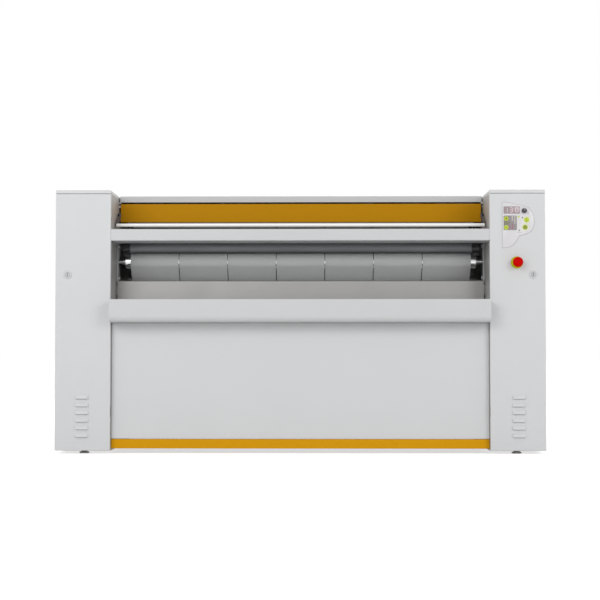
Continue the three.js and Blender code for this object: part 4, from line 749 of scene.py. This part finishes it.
# -------- gearmotor
# Cast worm gearbox on a folded stand, with a finned motor, its fan cowl and a terminal box.
# Everything is sprayed blue-grey after assembly, bolts and all.
machine_enamel = painted("machine_enamel", (72, 92, 112), 0.4, cloud=0.05, peel_depth=0.0002)
GEAR_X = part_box("gearmotor")[0].x + 0.0595
SHAFT_HEIGHT = 0.072
HOUSING_LEFT, HOUSING_LONG, HOUSING_RADIUS = -0.951, 0.119, 0.052
FOOT_REACH, FOOT_RADIUS = 0.038, 0.014
BOLT_CIRCLE = 0.044
WORM_DROP = 0.044
STAND_BASE, STAND_HALF, STAND_WALL, STAND_DEEP = 0.0153, 0.036, 0.004, 0.104
FIN_TIP, FIN_ROOT = 0.0458, 0.041


def block(origin, x0, x1, y0, y1, z0, z1):
    """A box, in mm from an origin."""
    return box_mesh([o + c / MM for o, c in zip(origin, (x0, y0, z0))],
                    [o + c / MM for o, c in zip(origin, (x1, y1, z1))])


def rounded_block(radius, *place):
    bm = block(*place)
    bmesh.ops.bevel(bm, geom=bm.edges[:], offset=radius, affect="EDGES", segments=2, profile=0.5,
                    material=-1)
    return bm


y, z = MOTOR_AXIS
seat = z - SHAFT_HEIGHT
crown = [polar(y, z, HOUSING_RADIUS, pi * k / 24) for k in range(25)]
foot_right = [polar(y + FOOT_REACH, seat + FOOT_RADIUS, FOOT_RADIUS, pi * (k / 12 - 0.5))
              for k in range(7)]
foot_left = [(2 * y - u, v) for u, v in reversed(foot_right)]
casting = plate([foot_left + foot_right + crown], lambda u, v: (HOUSING_LEFT, u, v),
                (HOUSING_LONG, 0, 0))
cover = turned([(0, 0), (0, 36), (-2.5, 38.5), (-4, 38.5), (-4, 0)], "X", (-0.8355, y, z), 48)
cover_bolts = [bolt((-0.8323, *polar(y, z, BOLT_CIRCLE, a)), 1, 3.5, 1.8)
               for a in (pi * (k + 0.5) / 3 for k in range(6)) if sin(a) > -0.9]
motor_z = z - WORM_DROP
motor = (GEAR_X, 0, motor_z)
fins = [polar(GEAR_X, motor_z, radius, 2 * pi * k / 96)
        for k, radius in enumerate([FIN_TIP, FIN_TIP, FIN_ROOT, FIN_ROOT] * 24)]
finned = plate([fins], lambda u, v: (u, -0.1, v), (0, 0.112, 0))
barrel = turned([(-137, 0), (-137, 34), (-134, 39.5), (-129, 45.5), (-126, 46), (-100, 46), (-98.5, 44.5),
                 (-98.5, 41), (17, 41), (17, 48), (19, 50), (50, 50), (50, 0)], "Y", motor, 64)
terminals = rounded_block(0.003, motor, -24, 24, -77, -13, 30, 62)
terminal_lid = rounded_block(0.0012, motor, -22.5, 22.5, -75.5, -14.5, 61.5, 65.8)
stand = plate([oblong(GEAR_X - STAND_HALF + wall, GEAR_X + STAND_HALF - wall, STAND_BASE + wall,
                      seat - wall) for wall in (0, STAND_WALL)],
              lambda u, v: (u, y - STAND_DEEP / 2, v), (0, STAND_DEEP, 0))
gearmotor = made_piece("gearmotor_set", joined(casting, cover, *cover_bolts, finned, barrel, terminals,
                                               terminal_lid, stand),
                       "chassis", machine_enamel, "gearmotor", smooth=32)
soft_edges(gearmotor, 0.0008, 55)

# -------- exhaust fan
# Spiral casing of galvanised sheet with a spun inlet ring, a flanged spigot through the rear
# panel, a welded impeller and a small motor on its back.
level_normals(made_piece("fan_case", eased("fan_housing", 0.0008, 0.01, 2), "chassis", zinc_sheet,
                         "fan_housing", smooth=50))
FAN_AXIS = middle_of("fan_impeller").yz
low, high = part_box("fan_inlet_ring")
deep = (high.x - low.x) * MM
ring = [(0, 30.2), (0, 41.5), (1, 42), (1.8, 41.5), (2.5, 34), (6, 32), (deep, 32), (deep, 30.2), (6, 30.2),
        (0, 30.2)]
made_piece("inlet_cone", turned(ring, "X", (low.x, *FAN_AXIS), 64), "chassis", zinc_sheet,
           "fan_inlet_ring")
low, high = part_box("exhaust_spigot")
SPIGOT = (0.843, FAN_AXIS.y - 0.008)
FLANGE_AT = 0.291
collar = [(0.5, 48.2), (0.5, 49.8), (45.5, 49.8), (47, 51.4), (50, 51.4), (51.5, 49.8), (63, 49.8),
          (64, 49), (63, 48.2), (0.5, 48.2)]
flange = plate([oblong(low.x, high.x, low.z, high.z), circle(*SPIGOT, 0.0485, 64)],
               lambda u, v: (u, FLANGE_AT, v), (0, SHEET, 0))
made_piece("spigot", joined(turned(collar, "Y", (SPIGOT[0], FLANGE_AT, SPIGOT[1]), 72), flange), "chassis",
           zinc_sheet, "exhaust_spigot")
fan_steel = metal("fan_steel", (150, 153, 156), 0.4, (60.0, 60.0, 60.0), tone=0.07)
made_piece("fan_wheel", eased("fan_impeller", 0.0003, 0.006, 1), "fan_impeller", fan_steel,
           "fan_impeller")
low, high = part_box("fan_motor")
deep = (high.x - low.x) * MM
can = [(0, 6.6), (0, 31), (2, 34), (14, 34), (15, 33), (40, 33), (41, 34), (deep - 6, 34), (deep - 1, 29.5),
       (deep, 27), (deep, 0), (24, 0), (24, 6.6), (0, 6.6)]
motor_black = painted("motor_black", (46, 47, 49), 0.45, cloud=0.05)
made_piece("fan_motor_can", turned(can, "X", (low.x, *FAN_AXIS), 64), "chassis", motor_black,
           "fan_motor")

# -------- control case
# A zinc-plated steel case on the right side frame. Behind its open front stand a drive unit
# and, clipped on two rails, three contactors and four blocks of terminals.
CASE_SHEET = 0.0015
ROW_PITCH = 0.105556
RAIL_INSET = 0.012
CONTACTOR_PITCH, TERMINAL_PITCH = 0.046, 0.033
low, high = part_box("control_box")
case = box_mesh(low, high)
bmesh.ops.delete(case, geom=[f for f in case.faces if f.normal.y < -0.9], context="FACES_ONLY")
soft_edges(made_piece("case_shell", thickened(case, CASE_SHEET), "chassis", zinc_sheet,
                      "control_box", smooth=30), 0.0005)
rows = [low.z + k * ROW_PITCH for k in range(4)]
back = high.y - CASE_SHEET
rail_steel = metal("rail_steel", (186, 188, 184), 0.3, (3.0, 500.0, 500.0))
hat = [(0, -13.5), (-7.5, -13.5), (-7.5, -17.5), (-8.5, -17.5), (-8.5, -12.5), (-1, -12.5)]
hat += [(d, -h) for d, h in reversed(hat)]
for k in (1, 2):
    rail = plate([hat], lambda d, h: (low.x + RAIL_INSET, back + d / MM, rows[k] + h / MM),
                 (high.x - low.x - 2 * RAIL_INSET, 0, 0))
    made_piece(f"rail_{k}", rail, "chassis", rail_steel, smooth=20)
device_grey = moulded("device_grey", (196, 198, 196), 0.45)
device_black = moulded("device_black", (38, 39, 41), 0.5)
brass_screw = metal("brass_screw", (190, 178, 148), 0.35, (80.0, 80.0, 80.0))


def moulding(name, origin, blocks, material, radius=0.0008, body="chassis"):
    """Moulded housings: blocks, in mm from an origin, joined into one piece with softened edges."""
    whole = joined(*[block(origin, *sizes) for sizes in blocks])
    soft_edges(made_piece(name, whole, body, material, smooth=30), radius)


def brass_screws(name, places, radius, height, chamfer, steps):
    """Screw heads that face the front, in mm."""
    head = [(0, 0), (0, radius), (-height, radius - chamfer), (-height, 0)]
    made_piece(name, joined(*[turned(head, "Y", place, steps) for place in places]), "chassis",
               brass_screw, smooth=30)


for k in range(3):
    x, y, z = place = (low.x + 0.016 + k * CONTACTOR_PITCH, back - 0.0785, rows[2])
    moulding(f"contactor_{k}", place, [(0, 38, 0, 70, -34, -20.5), (0, 38, 0, 70, 20.5, 34),
                                       (0, 38, -1.2, 70, -20.3, 20.3)], device_grey)
    moulding(f"contactor_face_{k}", place, [(6, 32, -12, -1.4, -20, 20), (15, 23, -13.5, -12.2, -6, 6)],
             device_black)
    brass_screws(f"contactor_screws_{k}", [(x + 0.0075 + 0.0115 * i, y - 0.0001, z + s * 0.0272)
                                           for i in range(3) for s in (-1, 1)], 3, 1.2, 0.4, 16)
terminal_beige = moulded("terminal_beige", (206, 200, 182), 0.5)
for k in range(4):
    x, y, z = place = (low.x + 0.018 + k * TERMINAL_PITCH, back, rows[1])
    slices = [(5.5 * i, 5.5 * i + 5.2, -48.5, -8.5, -22, 22) for i in range(5)]
    moulding(f"terminals_{k}", place, slices, terminal_beige, 0.0005)
    brass_screws(f"terminal_screws_{k}", [(x + i * 0.0055 + 0.0026, y - 0.0486, z + s * 0.014)
                                          for i in range(5) for s in (-1, 1)], 1.8, 0.6, 0.2, 12)
place = (low.x + 0.02, back, rows[3])
moulding("drive_body", place, [(0, 128.7, -81.5, 0, -48, 48), (3, 125.7, -91.5, -81.3, -45, 45)],
         device_grey, 0.0015)
ridges = [(10, 50, -92.3, -91.3, 8 * i - 36, 8 * i - 33) for i in range(9)]
moulding("drive_face", place, [(60, 115, -93.5, -91.3, -32, 38), *ridges], device_black, 0.0004)

# -------- keypad
# A printed polyester membrane glued to the right door: pale grey with a darker line along its edge
# that is painted shadow of its thickness, a grey field behind the temperature keys, and rows of small
# indicator marks.
low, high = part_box("keypad_panel")
PANEL_FACE = low.y
PANEL_BODY = next(body for body, nodes in frame["record"]["behaviour"]["bodies"].items()
                  if "keypad_panel" in nodes)
KEYPAD_LEFT, KEYPAD_TOP = low.x, high.z
ON_INK = 0.00008
membrane = moulded("membrane", (212, 210, 212), 0.35, grain=1400.0, depth=0.00001, tone=0.012)
made_piece("keypad_sheet", eased("keypad_panel", 0.0003, 0.0005, 2), PANEL_BODY, membrane,
           "keypad_panel", smooth=30)


def rounded(x0, x1, z0, z1, radius, steps=6):
    """A round-cornered rectangle, as a closed line, in keypad millimetres."""
    middles = oblong(x0 + radius, x1 - radius, z0 + radius, z1 - radius)
    return [polar(*middles[turn], radius, pi / 2 * (turn - 2 + k / steps))
            for turn in (1, 2, 3, 0) for k in range(steps + 1)]


def printed(name, shapes, material, lift=0.00004):
    """Ink just proud of the membrane: flat shapes, in mm right of and below its top left corner."""
    def at(x, z):
        return KEYPAD_LEFT + x / MM, PANEL_FACE - lift, KEYPAD_TOP - z / MM
    layers = [plate(loops, at, (0, 0.00003, 0)) for loops in shapes]
    made_piece(name, joined(*layers), PANEL_BODY, material, smooth=20)


def ink(name, colour, glow=0.0, roughness=0.35):
    """Printing ink with a trace of the screen's mesh in its tone, which can be lit from behind."""
    material = moulded(name, colour, roughness, grain=2500.0, depth=0.000005, tone=0.03)
    feed(material.node_tree.nodes["Principled BSDF"],
         {"Emission Color": (*linear(colour), 1), "Emission Strength": glow})
    return material


def curve(*controls, steps=14):
    """Points along a curve between its first and last control, without the first."""
    points = []
    for k in range(1, steps + 1):
        row = [Vector(c) for c in controls]
        while len(row) > 1:
            row = [a.lerp(b, k / steps) for a, b in zip(row, row[1:])]
        points.append(tuple(row[0]))
    return points


def inset(loop, distance):
    """A closed line moved inwards, for a line that runs clockwise on the panel."""
    moved = []
    for before, here, after in zip(loop[-1:] + loop[:-1], loop, loop[1:] + loop[:1]):
        way = (Vector(after) - Vector(before)).normalized()
        moved.append((here[0] - way.y * distance, here[1] + way.x * distance))
    return moved


wide, tall = (high.x - low.x) * MM, (high.z - low.z) * MM
edge_line = [(0, tall), *[(0, 8 + (tall - 8) * (1 - k / 8)) for k in range(1, 9)],
             *curve((0, 8), (0, 0), (9, 0)), (wide * 0.6, 14),
             *curve((wide * 0.6, 14), (wide - 18, 17), (wide, 48), (wide, tall * 0.43)),
             *curve((wide, tall * 0.43), (wide, tall * 0.61), (wide - 18, tall * 0.74 - 5),
                    (wide * 0.535, tall * 0.74)),
             *curve((wide * 0.535, tall * 0.74), (wide * 0.47, tall * 0.74 + 22), (wide * 0.35, tall - 4),
                    (18, tall))]
edge_shade_and_dash_ink = ink("edge_shade_and_dash_ink", (168, 168, 170))
ink_pale = ink("ink_pale", (205, 205, 192), 0.1)
# A grey line along the membrane's edge: painted shadow of its thickness. The same ink prints the dash.
printed("edge_shadow_print", [[inset(edge_line, 0.7), inset(edge_line, 2.3)]], edge_shade_and_dash_ink)
keys_at = [(17, 68), (17, 103), (97, 73), (91, 102)]
left_keys = [circle(*at, 9.6, 40) for at in keys_at[:2]]
printed("field_print", [[rounded(6.5, 58.5, 56, 113.5, 3), *left_keys]], ink("ink_field", (140, 134, 135)))
printed("olive_print", [[rounded(8, 31, 79, 92, 2)]], ink("ink_olive", (124, 120, 104)), ON_INK)
printed("wine_print", [[rounded(38.6, 43.4, 88, 109, 1)], [rounded(28.5, 33.5, 95, 111, 2)]],
        ink("ink_wine", (150, 104, 116)), ON_INK)
printed("level_print", [[rounded(38.8, 43, z, z + 3, 0.6)] for z in (58, 63, 68, 73)]
        + [[rounded(48.6, 52.6, z, z + 3, 0.6)] for z in (59, 64, 69, 74, 79, 84)], ink_pale, ON_INK)
printed("dot_print", [[circle(80.9, 64.3, 2.6)], [circle(68.3, 114.6, 2.6)], [circle(102.9, 48.5, 1.8)]],
        ink("ink_dark", (96, 90, 92)))
printed("dash_print", [[rounded(60, 76, 121, 123, 0.8)]], edge_shade_and_dash_ink)
printed("lamp_print", [[circle(65.5, 60.3, 4.2)]], ink("ink_lime", (176, 190, 84), 0.15))
printed("halo_print", [[circle(*at, 13.5, 48), circle(*at, 9.6, 48)] for at in keys_at[2:]]
        + [[rounded(64, 65.4, 82, 109, 0.6)]], ink("halo", (212, 218, 168)))

# -------- display
# A smoked pink filter over a three-digit readout that shows the cylinder's temperature. The
# filter is a thin acrylic plate on the membrane.
low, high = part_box("display_window")
filter_tint = ink("filter_tint", (158, 143, 147), roughness=0.14)
made_piece("display_filter", eased("display_window", 0.0004, 0.001, 2), PANEL_BODY, filter_tint,
           "display_window", smooth=30)
SEGMENTS = {"1": "bc", "3": "abgcd", "0": "abcdef"}
DIGIT_WIDE, DIGIT_TALL = 13, 20
STROKE = 2.9


def segment(letter, x, z):
    """One bar of a seven-part digit whose top left corner is given, as a closed line."""
    half = STROKE / 2
    left, right = x + half, x + DIGIT_WIDE - half
    top, waist, foot = z + half, z + DIGIT_TALL / 2, z + DIGIT_TALL - half
    x0, z0, x1, z1 = {
        "a": (left, top, right, top), "g": (left, waist, right, waist), "d": (left, foot, right, foot),
        "b": (right, top, right, waist), "c": (right, waist, right, foot),
        "f": (left, top, left, waist), "e": (left, waist, left, foot)}[letter]
    if z0 == z1:
        return [(x0 + 0.4, z0), (x0 + half, z0 - half), (x1 - half, z0 - half), (x1 - 0.4, z0),
                (x1 - half, z0 + half), (x0 + half, z0 + half)]
    return [(x0, z0 + 0.4), (x0 + half, z0 + half), (x0 + half, z1 - half), (x0, z1 - 0.4),
            (x0 - half, z1 - half), (x0 - half, z0 + half)]


lit_pink = ink("lit_pink", (206, 184, 188), 0.12)
lit_grey = ink("lit_grey", (186, 188, 183), 0.1)
for digit, x, material in (("1", 10, lit_grey), ("3", 30, lit_pink), ("0", 52.5, lit_pink)):
    printed(f"digit_{digit}", [[segment(letter, x, 24)] for letter in SEGMENTS[digit]], material,
            PANEL_FACE - low.y + 0.00004)

# -------- keys
# Moulded push keys with a raised face: plus and minus for the temperature, start and stop for
# the drive. The signs are printed on their crowns.
lime_key = moulded("lime_key", (186, 203, 50), 0.4)
olive_key = moulded("olive_key", (164, 182, 54), 0.4)
sign_olive = ink("sign_olive", (100, 112, 12))
sign_green = ink("sign_green", (132, 150, 20))
plus_sign = [(-1.5, -4.6), (1.5, -4.6), (1.5, -1.5), (4.6, -1.5), (4.6, 1.5), (1.5, 1.5), (1.5, 4.6),
             (-1.5, 4.6), (-1.5, 1.5), (-4.6, 1.5), (-4.6, -1.5), (-1.5, -1.5)]
ring_sign = [circle(0, 0, 6), circle(0, 0, 2.4, 24)]
for name, loops, sign_ink, slot, plastic in (
        ("plus_key", [plus_sign], sign_olive, "lime_key", lime_key),
        ("minus_key", [oblong(-4.8, 4.8, -1.5, 1.5)], sign_green, "lime_key", lime_key),
        ("start_key", [oblong(-1.5, 1.5, -4.4, 4.4)], sign_green, "lime_key", lime_key),
        ("stop_key", ring_sign, sign_olive, "olive_key", olive_key)):
    low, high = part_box(name)
    x, y, z = middle_of(name).x, low.y, middle_of(name).z
    deep = (high.y - y) * MM
    cap = [(0, 0), (0.12, 4), (0.3, 6.5), (0.8, 8.2), (1.6, 9), (6.9, 9), (6.9, 11), (deep, 11), (deep, 0)]
    made_piece(f"{name}_cap", turned(cap, "Y", (x, y, z), 48), name, plastic, name, smooth=40)
    sign = plate(loops, lambda u, v: (x + u / MM, y - 0.00002, z - v / MM), (0, 0.0004, 0))
    made_piece(f"{name}_sign", sign, name, sign_ink, smooth=20)

# -------- speed knob
# A black thermoplastic knob with a finger ridge and a pale pointer, on the shaft of the speed
# control.
knob_black = moulded("knob_black", (62, 60, 62), 0.42)
made_piece("knob", eased("speed_knob", 0.0004, 0.0012, 2), "speed_knob", knob_black,
           "speed_knob", smooth=40)
middle = middle_of("speed_knob")
middle.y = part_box("speed_knob")[0].y
made_piece("knob_pointer", block(middle, -0.7, 0.7, -0.08, 0.4, 1, 8.5), "speed_knob",
           ink("pointer", (214, 212, 210)), smooth=20)

# -------- control board
# A green glass-fibre board behind the keypad on four posts, with its display, switches and
# speed control. A processor, a relay, a row of screw terminals and a socket stand on its back.
BOARD_BACK = -0.2744
board_green = moulded("board_green", (28, 82, 52), 0.35, grain=1800.0, depth=0.00002, tone=0.08)
made_piece("board_sheet", eased("control_board", 0.0002, 0.001, 1), PANEL_BODY,
           board_green, "control_board", smooth=25)
low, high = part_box("control_board")
relay_blue, terminal_green = ink("relay_blue", (44, 74, 128)), ink("terminal_green", (52, 120, 74))
for name, material, *sizes in (("processor", device_black, 20, 42, 0, 2.2, 40, 62),
                               ("relay", relay_blue, 8, 36, 0, 5.5, 8, 26),
                               ("board_terminals", terminal_green, 46, 100, 0, 6, 5, 14),
                               ("ribbon_socket", device_black, 52, 92, 0, 5, 78, 85)):
    moulding(name, (low.x, BOARD_BACK, low.z), [sizes], material, 0.0004, PANEL_BODY)

# -------- emergency stop
# A mushroom head on a chromed plunger, in a yellow collar screwed to the door with a nut, over
# a block of contacts. Pushed in it latches, and a twist of the head lets it out.
centre = middle_of("estop_collar")
centre.y = FRONT
collar_yellow = moulded("collar_yellow", (182, 180, 14), 0.5, shine=0.2)
collar = [(-0.3, 7.6), (-9.3, 7.6), (-9.3, 14.2), (-8.8, 15), (-4.3, 18.6), (-3.5, 20), (-3.3, 23.2),
          (-2.6, 24), (-0.3, 24), (-0.3, 7.6)]
made_piece("estop_base", turned(collar, "Y", centre, 72), PANEL_BODY, collar_yellow,
           "estop_collar", smooth=30)
barrel = [(-0.5, 7.6), (-0.5, 11), (30, 11), (30, 7.6), (-0.5, 7.6)]
nut = [(2.3, 10.5), (2.3, 15.8), (6.5, 15.8), (7, 15), (7, 10.5), (2.3, 10.5)]
made_piece("estop_nut", joined(turned(barrel, "Y", centre, 48), turned(nut, "Y", centre, 6)), PANEL_BODY,
           rail_steel, smooth=30)
moulding("estop_contacts", centre, [(-15, 15, 16, 53.8, -21, -8), (-15, 15, 16, 53.8, 8, 21),
                                    (-14.8, 14.8, 40, 53.5, -7.8, 7.8)], device_grey, body=PANEL_BODY)
plunger_chrome = metal("plunger_chrome", (206, 207, 210), 0.12, (300.0, 300.0, 300.0), tone=0.02)
made_piece("estop_stem", eased("estop_plunger", 0.0002, 0.002, 1), "estop_plunger",
           plunger_chrome, "estop_plunger", smooth=35)
low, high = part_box("estop_head")
head_red = moulded("head_red", (196, 3, 1), 0.5, grain=700.0, depth=0.00001, tone=0.02, shine=0.04)
deep = (high.y - low.y) * MM
head = [(0, 0), (0.2, 6), (1, 12.5), (2.2, 16.5), (4, 19), (6.5, 20), (10.5, 20), (12.5, 18.8), (13.3, 16),
        (15.5, 11.5), (deep, 10.2), (deep, 5.4), (5.9, 5.4), (5.9, 0)]
made_piece("estop_mushroom", turned(head, "Y", (centre.x, low.y, centre.z), 96), "estop_head",
           head_red, "estop_head", smooth=35)

# -------- locks
# Quarter-turn locks, die-cast and zinc plated: a slotted core in front, and behind the door a
# cam that swings behind the frame's strike.
lock_zinc = metal("lock_zinc", (172, 173, 175), 0.55, (200.0, 200.0, 200.0), bare=0.4)
for side in SIDES:
    name = f"{side}_lock"
    made_piece(f"{side}_quarter_turn", eased(name, 0.0004, 0.002, 2), name, lock_zinc, name,
               smooth=35)
